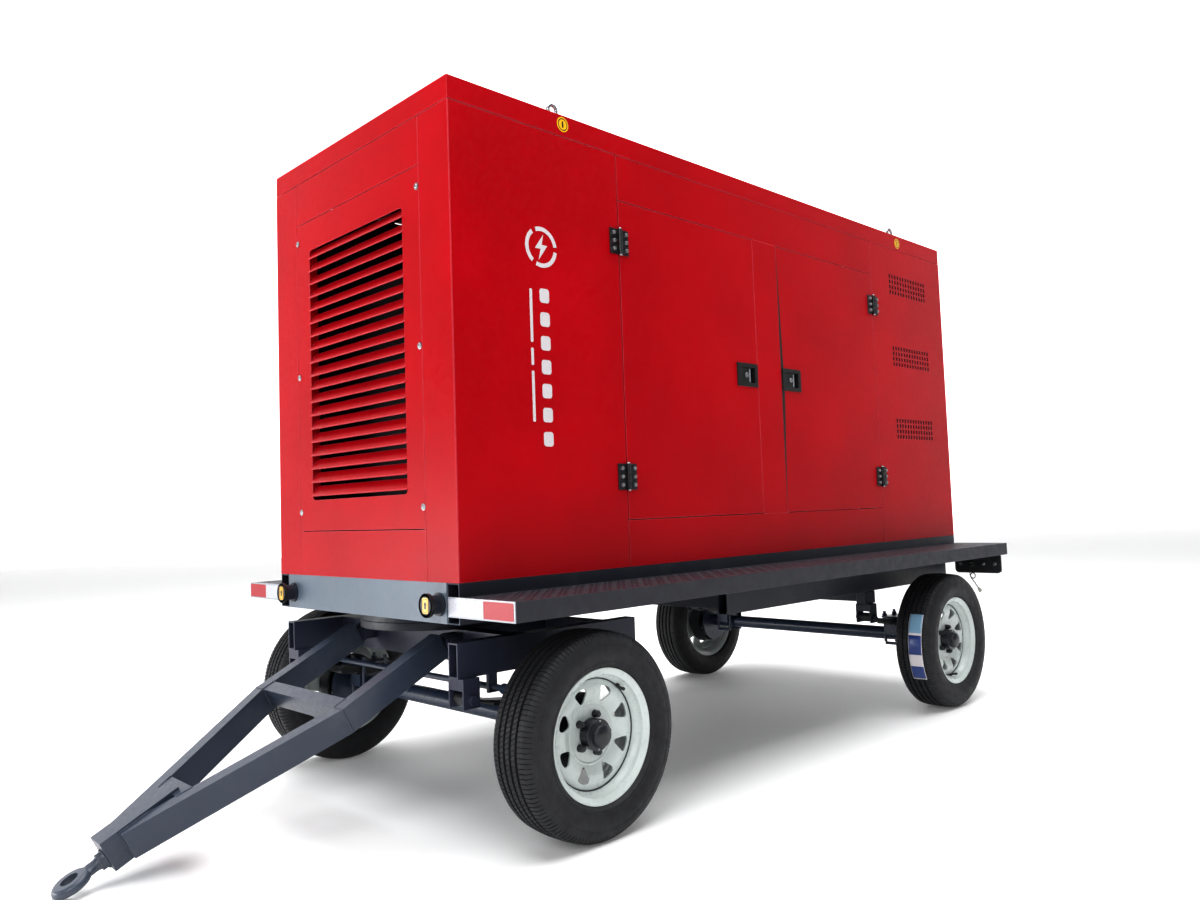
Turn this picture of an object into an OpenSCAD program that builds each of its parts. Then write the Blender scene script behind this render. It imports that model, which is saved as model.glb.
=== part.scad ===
// Towable diesel generator: a sound-proofed set on a four-wheel drawbar trailer.
// Millimetres, +Z up. The towing end points along -X and the ground is at Z = 0.
// Places along the machine are measured from the canopy's front face, rearwards.
// from_front() then shifts them, so that the origin lies under the middle.

/* [Canopy] */
// Length of the canopy over its front and rear sheets
canopy_l = 3110; // [2700:10:3740]
// Width of the canopy
canopy_w = 1120; // [1000:10:1350]
// Height of the canopy above its base frame
canopy_h = 1495; // [1240:5:1800]
// Depth of the roof's turned-down skirt
roof_skirt = 72; // [40:1:110]
// Sheet thickness of the panels
sheet = 3; // [2:0.5:4]
// Width of the corner posts, seen from an end
post_w = 157; // [120:1:190]
// Visible gap between neighbouring panels
seam = 3; // [2:0.5:6]
// Height of the fixed panel under the roof at both ends
end_head = 154; // [100:1:200]
// Height of the fixed panel above the base frame at both ends
end_sill = 154; // [100:1:200]

/* [Front louvre] */
// Width of the louvre opening
louvre_w = 610; // [480:5:700]
// Height of the louvre opening
louvre_h = 895; // [600:5:940]
// Spacing of the slats
slat_pitch = 44.8; // [38:0.2:60]
// Slope of the slats below level, degrees
slat_slope = 35; // [20:1:45]

/* [Side doors] */
// Length of the fixed side panel in front of the doors
front_panel = 703; // [560:1:850]
// Length of the fixed side panel behind the doors
rear_panel_l = 706; // [560:1:850]
// Width of the fixed post between the doors
mid_post = 158; // [120:1:200]
// Height of the fixed strip above the doors
door_head = 161; // [120:1:200]
// Height of the fixed strip below the doors
door_sill = 157; // [120:1:200]
// Depth of a door's folded edge
door_depth = 30; // [20:1:40]
// Height of each hinge
hinge_h = 88; // [60:2:110]
// Width of one hinge leaf
hinge_leaf = 44; // [30:1:55]
// Radius of the hinge barrel
barrel_r = 7; // [5:0.5:9]
// Height of the hinges' centres above the canopy's bottom, low one and high one
hinge_low = 304; // [220:1:360]
hinge_high = 1113; // [900:1:1180]
// Width of a door latch's plate
latch_w = 130; // [100:2:150]
// Height of a door latch's plate
latch_h = 92; // [76:2:120]
// Height of the latches' centres above the canopy's bottom
latch_z = 705; // [500:5:850]

/* [Running gear] */
// Outside diameter of the tyres
tyre_od = 601; // [500:1:722]
// Section width of the tyres
tyre_w = 175; // [145:5:205]
// Rim diameter over its flanges
rim_od = 386; // [340:2:420]
// Distance between the centres of the left and right tyres
track = 1450; // [1390:5:1740]
// Front axle behind the canopy's front face
front_axle_x = 326; // [300:1:400]
// Rear axle behind the canopy's front face
rear_axle_x = 2576; // [2450:1:2700]
// Diameter of the axle tubes
axle_tube = 60; // [50:1:76]
// Half the distance between a leaf spring's two eyes
spring_half = 279; // [240:1:300]
// Camber of the springs at rest
spring_camber = 34; // [20:1:50]
// Width of the spring leaves
leaf_w = 60; // [45:1:70]
// Distance of the springs' centre lines from the middle
spring_y = 507; // [470:1:520]
// Free height between the tyres' tops and the base frame
tyre_room = 35; // [30:1:90]
// Most that the front axle steers to either side, degrees
steer_max = 60; // [30:5:70]

/* [Trailer frame] */
// Height of the base frame
base_h = 119; // [100:1:150]
// Height of the chassis rails under the base frame
rail_h = 100; // [80:1:120]
// Width of the chassis rails and of the bogie's side beams
rail_w = 46; // [40:1:60]
// Height of the bogie's side beams
beam_h = 102; // [80:1:120]
// Outer radius of the turntable rings
ring_r = 280; // [220:5:300]
// Radial width of the turntable rings
ring_w = 60; // [40:1:80]
// Free gap between the turntable's two rings
ring_gap = 0.6; // [0.4:0.1:2]
// Overall width over the two walkways
deck_w = 1636; // [1480:2:1964]
// Depth of the walkways' edges
deck_edge = 57; // [40:1:80]
// Step from the canopy's bottom down to the walkways' tops
deck_step = 40; // [20:1:60]
// Length by which the walkways pass the canopy at the rear
deck_tail = 25; // [0:1:60]

/* [Drawbar] */
// Drawbar pins behind the canopy's front face
hinge_x = 168; // [150:1:180]
// Drop of the drawbar pins below the bogie's top
hinge_drop = 34; // [32:1:50]
// Distance from the pins to the centre of the towing eye
eye_reach = 1136; // [940:1:1370]
// Height of the eye's centre when it rests on the ground
eye_rest = 31.5; // [30.5:0.5:60]
// Outer radius of the towing eye
eye_r = 50; // [40:1:56]
// Radius of the hole in the towing eye
eye_hole_r = 22.5; // [18:0.5:28]
// Thickness of the towing eye
eye_t = 26; // [20:1:36]
// Width and height of the rails' tube
bar_w = 50; // [40:1:60]
bar_h = 80; // [60:1:100]
// Wall of the drawbar's tubes
bar_wall = 5; // [3:0.5:8]
// Distance over the rails' outsides at the pins
bar_span = 572; // [480:2:640]
// Width and height of the nose tube
nose_w = 80; // [70:1:100]
nose_h = 90; // [70:1:100]

/* [Fits] */
// Gap where one piece seats on another
seat = 0.3; // [0.2:0.1:0.5]
// Radial running clearance of shafts and pins
run = 0.05; // [0.02:0.01:0.1]

/* [Hidden] */
$fn = 48;

// Heights, from the ground up
axle_z = tyre_od / 2;
frame_z = tyre_od + tyre_room;
canopy_z = frame_z + base_h;
roof_z = canopy_z + canopy_h;
skirt_z = roof_z - roof_skirt;
deck_z = canopy_z - deck_step;
ring_h = 27 - ring_gap / 2;
beam_top = frame_z - 2 * ring_h - ring_gap;
beam_z = beam_top - beam_h;
rail_z = frame_z - rail_h;
tube_z = axle_z + 10;
leaf_t = 8;
leaf_n = 4;
seat_block = 14;
eye_z = tube_z + axle_tube / 2 + seat_block + leaf_n * (leaf_t + seat)
    - leaf_t / 2 + spring_camber;

// Half widths and end places
half_w = canopy_w / 2;
deck_y = deck_w / 2;
deck_end = canopy_l + deck_tail;
marker_t = 3;
deck_front = -2;
rail_in = spring_y - rail_w / 2;
rail_out = spring_y + rail_w / 2;

// Drawbar, in its own plane: reach forward of the pins, and height above that line
hinge_z = beam_top - hinge_drop;
bar_angle = asin((hinge_z - eye_rest) / eye_reach);
bar_low = -30;
bar_rear = max(32, (bar_h + bar_low) * tan(bar_angle) + 6);
bend_reach = 0.363 * eye_reach;
nose_reach = eye_reach - 91;
rail_reach = nose_reach - 50;
nose_rear = eye_reach - 316;
nose_low = -32;
bend_out = bar_span / 2;
tip_out = nose_w / 2 + 16;
bar_slope = (bend_out - tip_out) / (rail_reach - bend_reach);
brace_w = 44;
lug_r = 26;
lug_w = 28;
ear_w = 12;
pin_r = 11;
lug_y = bend_out - bar_w / 2;

// Row origin: under the middle of the whole machine
eye_x = hinge_x - eye_reach * cos(bar_angle);
nose_tip = eye_x - (eye_r - eye_t / 2) * cos(bar_angle) - eye_t / 2;
mid_x = (deck_end + nose_tip) / 2;

// Side openings
door_x1 = front_panel;
door_x4 = canopy_l - rear_panel_l;
door_x2 = (door_x1 + door_x4 - mid_post) / 2;
door_x3 = door_x2 + mid_post;
door_z0 = canopy_z + door_sill;
door_z1 = skirt_z - door_head;
barrel_y = half_w + barrel_r + 2;
latch_edge = 8;
tray_w = 96;
tray_h = 66;
tray_d = 16;

// Engine and alternator
crank_z = canopy_z + 395;
fan_z = crank_z + 260;
fan_r = 300;
spindle_fan_r = 15;
shaft_r = 35;
block_x0 = 560;
block_x1 = block_x0 + 860;
bell_x1 = block_x1 + 110;
alt_x0 = bell_x1 + seat;
alt_x1 = alt_x0 + 640;
alt_r = 280;
bore_r = 232;
rotor_gap = 2;
pulley_x = block_x0 - 60;
pulley_w = 24;
crank_pulley_r = 90;
fan_pulley_r = 60;
belt_t = 10;
mount_h = 60;
mount_y = 330;
mount_xs = [block_x0 + 150, alt_x1 - 120];
mount_z = canopy_z + 120;

// Wheels: front left, front right, rear left, rear right (left is +Y)
wheel_x = [front_axle_x, front_axle_x, rear_axle_x, rear_axle_x];
wheel_side = [1, -1, 1, -1];
hub_bore_r = 20;
rim_r = rim_od / 2;
rim_half = 0.36 * tyre_w;
bead_r = rim_r - 14;
nut_pcd_r = 57;
window_r = 112;

// Tail lamps under the walkways' rear corners
lamp_w = 236;
lamp_h = 82;
lamp_t = 26;
lamp_y = 674;
lamp_x = canopy_l + 6;
lamp_top = deck_z - deck_edge - 12;
gland_y = lamp_y - 26;
gland_z = deck_z - 111;

// Free end of the lamp's lead: route from its gland to its connector
lead_d = 5;
lead_pts = [
    [3102, -648, 604], [3090, -648, 604], [3082, -648, 601], [3077, -648, 593],
    [3076, -648, 578], [3076, -648, 566], [3076, -649, 556], [3075, -653, 547],
    [3073, -661, 541], [3070, -670, 541], [3068, -677, 547], [3067, -679, 556],
    [3067, -675, 564], [3067, -667, 567], [3067, -659, 563], [3067, -655, 555],
    [3068, -656, 546], [3070, -660, 537], [3071, -666, 528], [3072, -672, 519],
    [3072, -678, 510], [3072, -684, 501], [3072, -690, 492]
];
lead_end = lead_pts[len(lead_pts) - 1];
lead_tip = lead_pts[len(lead_pts) - 2];

module from_front() {
    translate([-mid_x, 0, 0]) children();
}

module both_sides() {
    for (s = [0, 1]) mirror([0, s, 0]) children();
}

// A box given by its ranges along X, Y and Z
module box(x, y, z) {
    translate([x[0], y[0], z[0]]) cube([x[1] - x[0], y[1] - y[0], z[1] - z[0]]);
}

// A rectangular tube along X or Y, open at both ends
module tube_x(x, y, z, wall) {
    difference() {
        box(x, y, z);
        box([x[0] - 1, x[1] + 1], [y[0] + wall, y[1] - wall], [z[0] + wall, z[1] - wall]);
    }
}

module tube_y(x, y, z, wall) {
    difference() {
        box(x, y, z);
        box([x[0] + wall, x[1] - wall], [y[0] - 1, y[1] + 1], [z[0] + wall, z[1] - wall]);
    }
}

// A round bar whose axis lies along X or Y, from one place to another
module rod_x(x, y, z, r) {
    translate([x[0], y, z]) rotate([0, 90, 0]) cylinder(h = x[1] - x[0], r = r);
}

module rod_y(x, y, z, r) {
    translate([x, y[1], z]) rotate([90, 0, 0]) cylinder(h = y[1] - y[0], r = r);
}

// ---- Trailer frame ----

base_wall = 5;
base_rail = 60;
cross_xs = [420, 1150, 1560, 2960];

module base_frame() {
    color("#2b3240") from_front() {
        both_sides() tube_x([0, canopy_l], [half_w - base_rail, half_w], [frame_z, canopy_z], base_wall);
        for (x = [0, canopy_l - base_rail])
            tube_y([x, x + base_rail], [-half_w + base_rail + seat, half_w - base_rail - seat],
                [frame_z, canopy_z], base_wall);
        for (x = cross_xs)
            tube_y([x, x + base_rail], [-half_w + base_rail + seat, half_w - base_rail - seat],
                [canopy_z - base_rail, canopy_z], base_wall);
        for (x = mount_xs)
            both_sides() mount_pedestal(x);
    }
}

// A welded stand that carries one rubber mount, on a short cross tube
module mount_pedestal(x) {
    difference() {
        box([x - 50, x + 50], [mount_y - 60, half_w - base_rail - seat], [canopy_z - base_rail, mount_z]);
        box([x - 42, x + 42], [mount_y - 61, half_w - base_rail - 8], [canopy_z - base_rail + 8, mount_z - 8]);
        translate([0, mount_y + 50, mount_z - 8 - 60])
            box([x - 51, x + 51], [0, 200], [0, 200]);
    }
}

post_x = [rear_axle_x - spring_half - 46, rear_axle_x - spring_half + 46];
rear_post_x = [rear_axle_x + spring_half - 40, rear_axle_x + spring_half + 46];
rail_x0 = front_axle_x + 924;
rail_x1 = canopy_l - 50;
rail_cross_xs = [rail_x0, rail_x0 + 480, rail_x1 - 60];

module chassis_rails() {
    color("#2b3240") from_front() {
        both_sides() {
            tube_x([rail_x0, rail_x1], [rail_in, rail_out], [rail_z, frame_z - seat], base_wall);
            box(post_x, [rail_in, rail_out], [beam_z, rail_z - seat]);
            box(rear_post_x, [rail_in, rail_out], [beam_z, rail_z - seat]);
            spring_hanger(rear_axle_x - spring_half);
            spring_hanger(rear_axle_x + spring_half);
        }
        for (x = rail_cross_xs)
            tube_y([x, x + 60], [-rail_in + seat, rail_in - seat], [rail_z + 20, frame_z - seat], base_wall);
        tube_y(post_x, [-rail_in + seat, rail_in - seat], [beam_z + 12, frame_z - seat], base_wall);
    }
}

hanger_t = 6;
hanger_l = 58;
eye_bolt_r = 9;
spring_eye_r = 20;

// Two plates under a beam with a bolt through the spring's eye
module spring_hanger(x) {
    inner = leaf_w / 2 + 1;
    difference() {
        box([x - hanger_l / 2, x + hanger_l / 2],
            [spring_y - inner - hanger_t, spring_y + inner + hanger_t],
            [eye_z - spring_eye_r - 4, beam_z - seat]);
        box([x - hanger_l, x + hanger_l], [spring_y - inner, spring_y + inner],
            [eye_z - 60, min(eye_z + spring_eye_r + 8, beam_z - seat - 6)]);
        rod_y(x, [spring_y - 60, spring_y + 60], eye_z, eye_bolt_r + seat);
    }
    rod_y(x, [spring_y - inner - hanger_t - 2, spring_y + inner + hanger_t + 2], eye_z, eye_bolt_r);
    for (s = [-1, 1])
        translate([x, spring_y + s * (inner + hanger_t + 0.8 + 6), eye_z])
            rotate([90, 0, 0]) cylinder(h = 12, r = 15, center = true, $fn = 6);
}

module walkways() {
    color("#343a46") from_front() both_sides() {
        difference() {
            box([deck_front, deck_end], [half_w + seat, deck_y], [deck_z - deck_edge, deck_z]);
            box([deck_front + 5, deck_end - 5], [half_w - 1, deck_y - 5], [deck_z - deck_edge - 1, deck_z - 5]);
        }
        for (x = [200, 900, 1600, 2300, canopy_l - 160])
            tube_y([x, x + 40], [half_w + seat, deck_y - 5 - seat], [deck_z - 45, deck_z - 5 - seat], 4);
    }
}

marker_in = 511;
marker_h = 58;

module marker_plates() {
    color("#e8e8e8") from_front() both_sides()
        box([deck_front - seat - marker_t, deck_front - seat], [marker_in, deck_y],
            [deck_z - deck_edge, deck_z - deck_edge + marker_h]);
}

bollard_y = 460;
bollard_z = frame_z + 0.47 * base_h;

// Short lashing posts with a flange at the tip
module bollards() {
    color("#3c434f") from_front() both_sides() {
        rod_x([-6, -seat], bollard_y, bollard_z, 34);
        rod_x([-40, -6], bollard_y, bollard_z, 27);
        rod_x([-48, -40], bollard_y, bollard_z, 35);
    }
}

module tail_lamps() {
    color("#20242c") from_front() both_sides() {
        box([lamp_x - 4, lamp_x], [lamp_y - lamp_w / 2, lamp_y + lamp_w / 2],
            [lamp_top - lamp_h, deck_z - deck_edge + 30]);
        box([lamp_x - 4 - 30, lamp_x - 4 - seat], [lamp_y - 90, lamp_y - 50],
            [deck_z - deck_edge + 4, deck_z - 5 - seat]);
        box([lamp_x - 4 - 30, lamp_x - 4 - seat], [lamp_y + 50, lamp_y + 90],
            [deck_z - deck_edge + 4, deck_z - 5 - seat]);
        box([lamp_x + seat, min(lamp_x + lamp_t, deck_end)],
            [lamp_y - lamp_w / 2 + 4, lamp_y + lamp_w / 2 - 4],
            [lamp_top - lamp_h + 4, deck_z - deck_edge - seat - 2]);
        for (y = [-88, -30, 30, 88])
            rod_x([lamp_x - 12, lamp_x - 4 - seat], lamp_y + y, lamp_top - 34, 6);
        difference() {
            rod_x([lamp_x - 22, lamp_x - 4 - seat], gland_y, gland_z, 8);
            rod_x([lamp_x - 40, lamp_x], gland_y, gland_z, lead_d / 2 + seat);
        }
    }
}

// Rings of a round tube swept along points
function unit(v) = v / norm(v);
function along(p, i) = unit(p[min(i + 1, len(p) - 1)] - p[max(i - 1, 0)]);
function ring_at(c, t, r, n) =
    let (u = unit(cross(t, [0.31, 0.92, 0.24])), v = cross(t, u))
    [for (k = [0 : n - 1]) c + r * (cos(360 * k / n) * u + sin(360 * k / n) * v)];

module swept_tube(p, d, n) {
    rings = [for (i = [0 : len(p) - 1]) each ring_at(p[i], along(p, i), d / 2, n)];
    last = len(p) - 1;
    sides = [
        for (i = [0 : last - 1], k = [0 : n - 1])
            let (a = i * n + k, b = i * n + (k + 1) % n)
            [a, a + n, b + n, b]
    ];
    start_cap = [for (k = [0 : n - 1]) k];
    end_cap = [for (k = [n - 1 : -1 : 0]) last * n + k];
    polyhedron(points = rings, faces = concat(sides, [start_cap], [end_cap]));
}

module lamp_lead() {
    color("#3a2418") from_front() swept_tube(lead_pts, lead_d, 8);
}

connector_l = 22;

module lead_connector() {
    way = unit(lead_end - lead_tip);
    color("#e6e6e2") from_front() translate(lead_end)
        rotate([0, acos(way[2]), atan2(way[1], way[0])])
            translate([-7, -5, seat]) cube([14, 10, connector_l]);
}

// ---- Axles and springs ----

drum_in = track / 2 - 108;
spindle_end = track / 2 + 20;
spindle_r = hub_bore_r - run;
clamp_h = 8;
clamp_half = 62;
u_bolt_r = 7;
u_bolt_x = 46;

module axle(x) {
    rod_y(x, [-drum_in, drum_in], tube_z, axle_tube / 2);
    both_sides() {
        difference() {
            box([x - 60, x + 60], [spring_y - 32, spring_y + 32],
                [tube_z, tube_z + axle_tube / 2 + seat_block]);
            for (s = [-1, 1])
                translate([x + s * u_bolt_x, spring_y, tube_z - 10])
                    cylinder(h = 100, r = u_bolt_r + seat);
        }
        rod_y(x, [drum_in - 1, spindle_end], axle_z, spindle_r);
        rod_y(x, [drum_in - 6, drum_in + 2], axle_z, 100);
        spring_clamp(x);
    }
}

// U-bolts and the plate that holds the spring on the axle
module spring_clamp(x) {
    top = tube_z + axle_tube / 2 + seat_block + leaf_n * (leaf_t + seat) + seat
        + clamp_half * clamp_half / (2 * spring_arc);
    difference() {
        box([x - clamp_half, x + clamp_half], [spring_y - leaf_w / 2 - 18, spring_y + leaf_w / 2 + 18], [top, top + clamp_h]);
        for (s = [-1, 1], t = [-1, 1])
            translate([x + s * u_bolt_x, spring_y + t * (leaf_w / 2 + 10), top - 1])
                cylinder(h = clamp_h + 2, r = u_bolt_r + seat);
    }
    for (s = [-1, 1], t = [-1, 1])
        translate([x + s * u_bolt_x, spring_y + t * (leaf_w / 2 + 10), tube_z - 34]) {
            cylinder(h = top + clamp_h + 22 - tube_z + 34, r = u_bolt_r);
            translate([0, 0, top + clamp_h + seat - tube_z + 34]) cylinder(h = 10, r = 11.5, $fn = 6);
        }
    for (s = [-1, 1])
        rod_y(x + s * u_bolt_x, [spring_y - leaf_w / 2 - 10, spring_y + leaf_w / 2 + 10], tube_z - 41, u_bolt_r);
}

spring_arc = (spring_half * spring_half + spring_camber * spring_camber) / (2 * spring_camber);
function arc_pt(r, a) = [r * sin(a), spring_arc - r * cos(a)];

// One leaf of a spring: an arc strip that reaches a share of the half length
module leaf(i, share) {
    reach = asin(spring_half * share / spring_arc);
    r0 = spring_arc + leaf_t / 2 + i * (leaf_t + seat);
    r1 = r0 - leaf_t;
    steps = 10;
    outline = concat(
        [for (k = [0 : steps]) arc_pt(r0, -reach + 2 * reach * k / steps)],
        [for (k = [steps : -1 : 0]) arc_pt(r1, -reach + 2 * reach * k / steps)]);
    rotate([90, 0, 0]) linear_extrude(height = leaf_w, center = true) polygon(outline);
}

module leaf_spring(x) {
    mid_z = eye_z - spring_camber;
    translate([x, spring_y, mid_z]) {
        difference() {
            union() {
                leaf(0, 1);
                for (s = [-1, 1])
                    translate([s * spring_half, 0, spring_camber]) rotate([90, 0, 0])
                        cylinder(h = leaf_w, r = spring_eye_r, center = true);
            }
            for (s = [-1, 1])
                translate([s * spring_half, 0, spring_camber]) rotate([90, 0, 0])
                    cylinder(h = leaf_w + 2, r = eye_bolt_r + seat, center = true);
        }
        for (i = [1 : leaf_n - 1]) leaf(i, 0.92 - 0.22 * i);
    }
}

module rear_axle() {
    color("#2a3342") from_front() axle(rear_axle_x);
}

module rear_springs() {
    color("#1c1e22") from_front() both_sides() leaf_spring(rear_axle_x);
}

module front_axle() {
    color("#3a4860") from_front() {
        axle(front_axle_x);
        brake_shaft();
    }
}

// Cross shaft of the front brakes, with its return fitting
module brake_shaft() {
    z = axle_z + 136;
    rod_y(front_axle_x - 176, [-560, 560], z, 10);
    both_sides() {
        difference() {
            box([front_axle_x - 192, front_axle_x - 160], [rail_in + 14, rail_in + 26], [z - 16, beam_z - seat]);
            rod_y(front_axle_x - 176, [rail_in, rail_out], z, 10 + seat);
        }
        rod_y(front_axle_x - 176, [560 + seat, 590], z, 16);
    }
}

module front_springs() {
    color("#1c1e22") from_front() both_sides() leaf_spring(front_axle_x);
}

// ---- Turntable and bogie ----

module turntable_ring(z) {
    translate([front_axle_x, 0, z]) difference() {
        cylinder(h = ring_h, r = ring_r, $fn = 96);
        translate([0, 0, -1]) cylinder(h = ring_h + 2, r = ring_r - ring_w, $fn = 96);
    }
}

king_r = 25;

module turntable_upper() {
    color("#232a36") from_front() {
        turntable_ring(frame_z - ring_h);
        translate([front_axle_x, 0, beam_z + 12]) cylinder(h = frame_z - beam_z, r = king_r);
        box([base_rail + seat, front_axle_x + ring_r], [-ring_r, ring_r], [frame_z, frame_z + 16]);
        both_sides()
            box([base_rail + seat, cross_xs[1] - seat], [ring_r - 70, ring_r - 10],
                [frame_z, canopy_z - base_rail - seat]);
    }
}

module turntable_lower() {
    color("#232a36") from_front() turntable_ring(beam_top);
}

bogie_x = [10, 745];
bogie_cross = [[hinge_x + 37, hinge_x + 97], [580, 640]];

module bogie_frame() {
    color("#39424f") from_front() {
        both_sides() {
            tube_x(bogie_x, [rail_in, rail_out], [beam_z, beam_top - seat], base_wall);
            spring_hanger(front_axle_x - spring_half);
            spring_hanger(front_axle_x + spring_half);
            for (y = [120, 215])
                tube_x([bogie_cross[0][1] + seat, bogie_cross[1][0] - seat], [y, y + 40],
                    [beam_top - 60, beam_top - seat], base_wall);
            drawbar_ears();
        }
        for (x = bogie_cross)
            tube_y(x, [-rail_in + seat, rail_in - seat], [beam_z, beam_top - seat], base_wall);
        king_plate();
    }
}

// The plate with the bush that the kingpin turns in
module king_plate() {
    difference() {
        box([bogie_cross[0][1] + seat, front_axle_x + 90], [-120 + seat, 120 - seat], [beam_top - 40, beam_top - 20]);
        translate([front_axle_x, 0, beam_top - 41]) cylinder(h = 22, r = king_r + run);
    }
}

// Ears on the front cross tube with the pin of one drawbar rail
module drawbar_ears() {
    for (y = [lug_y - lug_w / 2 - 0.5 - ear_w, lug_y + lug_w / 2 + 0.5])
        difference() {
            union() {
                rod_y(hinge_x, [y, y + ear_w], hinge_z, lug_r);
                box([hinge_x, bogie_cross[0][0] - seat], [y, y + ear_w], [hinge_z - lug_r, hinge_z + lug_r]);
            }
            rod_y(hinge_x, [y - 1, y + ear_w + 1], hinge_z, pin_r + seat);
        }
    rod_y(hinge_x, [lug_y - lug_w / 2 - ear_w - 6, lug_y + lug_w / 2 + ear_w + 6], hinge_z, pin_r);
    for (s = [-1, 1])
        rod_y(hinge_x, [lug_y + s * (lug_w / 2 + ear_w + 8.8) - 3, lug_y + s * (lug_w / 2 + ear_w + 8.8) + 3],
            hinge_z, 18);
}

// ---- Drawbar ----

// Places children in the drawbar's plane: -X forward from the pins, +Z its normal
module on_drawbar() {
    from_front() translate([hinge_x, 0, hinge_z]) rotate([0, -bar_angle, 0]) children();
}

// Outline of one rail, seen along the drawbar's normal
module rail_outline(inset, extra) {
    slope = bar_slope;
    side = bar_w * sqrt(1 + slope * slope);
    polygon([
        [-bar_rear + extra, bend_out - inset],
        [-bend_reach, bend_out - inset],
        [-rail_reach - extra, tip_out - inset - extra * slope],
        [-rail_reach - extra, tip_out - side + inset - extra * slope],
        [-bend_reach, bend_out - bar_w + inset],
        [-bar_rear + extra, bend_out - bar_w + inset]
    ]);
}

module rail_solid() {
    difference() {
        translate([0, 0, bar_low]) linear_extrude(height = bar_h) rail_outline(0, 0);
        translate([0, 0, bar_low + bar_wall]) linear_extrude(height = bar_h - 2 * bar_wall)
            rail_outline(bar_wall, -bar_wall);
        box([-nose_reach - 1, -nose_rear + 1], [-nose_w / 2, nose_w / 2], [bar_low - 1, bar_low + bar_h + 1]);
    }
}

module drawbar_frame() {
    plate_reach = nose_rear;
    plate_y = bend_out - bar_w - (plate_reach - bend_reach) * bar_slope;
    color("#46566b") on_drawbar() {
        difference() {
            union() {
                both_sides() {
                    rail_solid();
                    rod_y(0, [lug_y - lug_w / 2, lug_y + lug_w / 2], 0, lug_r);
                    box([-bar_rear - 4, 0], [lug_y - lug_w / 2, lug_y + lug_w / 2], [-lug_r, lug_r]);
                }
                box([-bend_reach, -bend_reach + brace_w], [-bend_out + bar_w - 1, bend_out - bar_w + 1],
                    [bar_low + 20, bar_low + bar_h - 1]);
                box([-plate_reach - brace_w / 2, -plate_reach + brace_w / 2], [-plate_y, plate_y],
                    [bar_low, bar_low + bar_h - 1]);
                tube_x([-nose_reach, -nose_rear], [-nose_w / 2, nose_w / 2], [nose_low, nose_low + nose_h], bar_wall);
                box([-nose_reach, -nose_reach + 12], [-nose_w / 2, nose_w / 2], [nose_low, nose_low + nose_h]);
            }
            rod_y(0, [-bend_out - 10, bend_out + 10], 0, pin_r + run);
            rod_x([-nose_reach - 1, -nose_reach + 30], 0, 0, 14);
        }
    }
}

module tow_eye() {
    color("#4a5563") on_drawbar() {
        difference() {
            union() {
                translate([-eye_reach, 0, 0]) rotate_extrude($fn = 96) eye_section();
                rod_x([-eye_reach + eye_r - 6, -nose_reach - seat], 0, 0, 16);
                rod_x([-nose_reach - 18, -nose_reach - seat], 0, 0, 24);
            }
            translate([-eye_reach, 0, -eye_t]) cylinder(h = 2 * eye_t, r = eye_hole_r, $fn = 96);
        }
    }
}

// Half section of the eye: rounded outside, flat bore
module eye_section() {
    r = eye_t / 2;
    intersection() {
        union() {
            translate([eye_r - r, 0]) circle(r = r, $fn = 48);
            translate([eye_hole_r - 2, -r]) square([eye_r - r - eye_hole_r + 2, eye_t]);
        }
        translate([0, -r]) square([eye_r + 1, eye_t]);
    }
}

// ---- Wheels ----

module at_wheel(i) {
    from_front() translate([wheel_x[i], wheel_side[i] * track / 2, axle_z])
        rotate([-90 * wheel_side[i], 0, 0]) children();
}

// Half section of the tyre: radius, then distance outwards from its middle
module tyre_section() {
    w = tyre_w / 2;
    r = tyre_od / 2;
    outside = [
        [bead_r + seat, rim_half - 2 - 2 * seat], [rim_r + seat, rim_half + 1 - 2 * seat],
        [rim_r + seat, rim_half + 4], [rim_r + 5, 0.86 * w], [rim_r + 24, 0.96 * w], [rim_r + 44, w],
        [r - 40, 0.97 * w], [r - 22, 0.89 * w], [r - 9, 0.78 * w], [r - 3, 0.66 * w], [r - 1, 0.42 * w]
    ];
    inside = [
        [bead_r + seat, rim_half - 14], [rim_r + 2, 0.68 * w], [rim_r + 24, 0.86 * w],
        [r - 30, 0.86 * w], [r - 16, 0.6 * w]
    ];
    polygon(concat(
        outside, [[r, 0]], [for (k = [len(outside) - 1 : -1 : 0]) [outside[k][0], -outside[k][1]]],
        [for (p = inside) [p[0], -p[1]]], [for (k = [len(inside) - 1 : -1 : 0]) inside[k]]
    ));
}

module tyre(i) {
    color("#232428") at_wheel(i) rotate_extrude($fn = 96) tyre_section();
}

// Half section of the wheel: barrel with its well, and the disc
module rim_section() {
    f = rim_r;
    w = rim_half;
    polygon([
        [f, w + 7], [f, w + 1], [bead_r, w - 2], [bead_r - 3, w - 20], [bead_r - 14, 26], [bead_r - 14, -24],
        [bead_r - 3, -38], [bead_r, -w + 2], [f, -w - 1], [f, -w - 7], [f - 4, -w - 7], [bead_r - 5, -w + 4],
        [bead_r - 8, -35], [bead_r - 18, -22], [bead_r - 18, 6], [150, 20], [126, 26], [96, 14], [80, 8],
        [36, 8], [36, 14], [78, 14], [94, 20], [124, 33], [152, 28], [bead_r - 18, 20], [bead_r - 18, 28],
        [bead_r - 8, w - 18], [bead_r - 5, w - 4], [f - 4, w + 7]
    ]);
}

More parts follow.
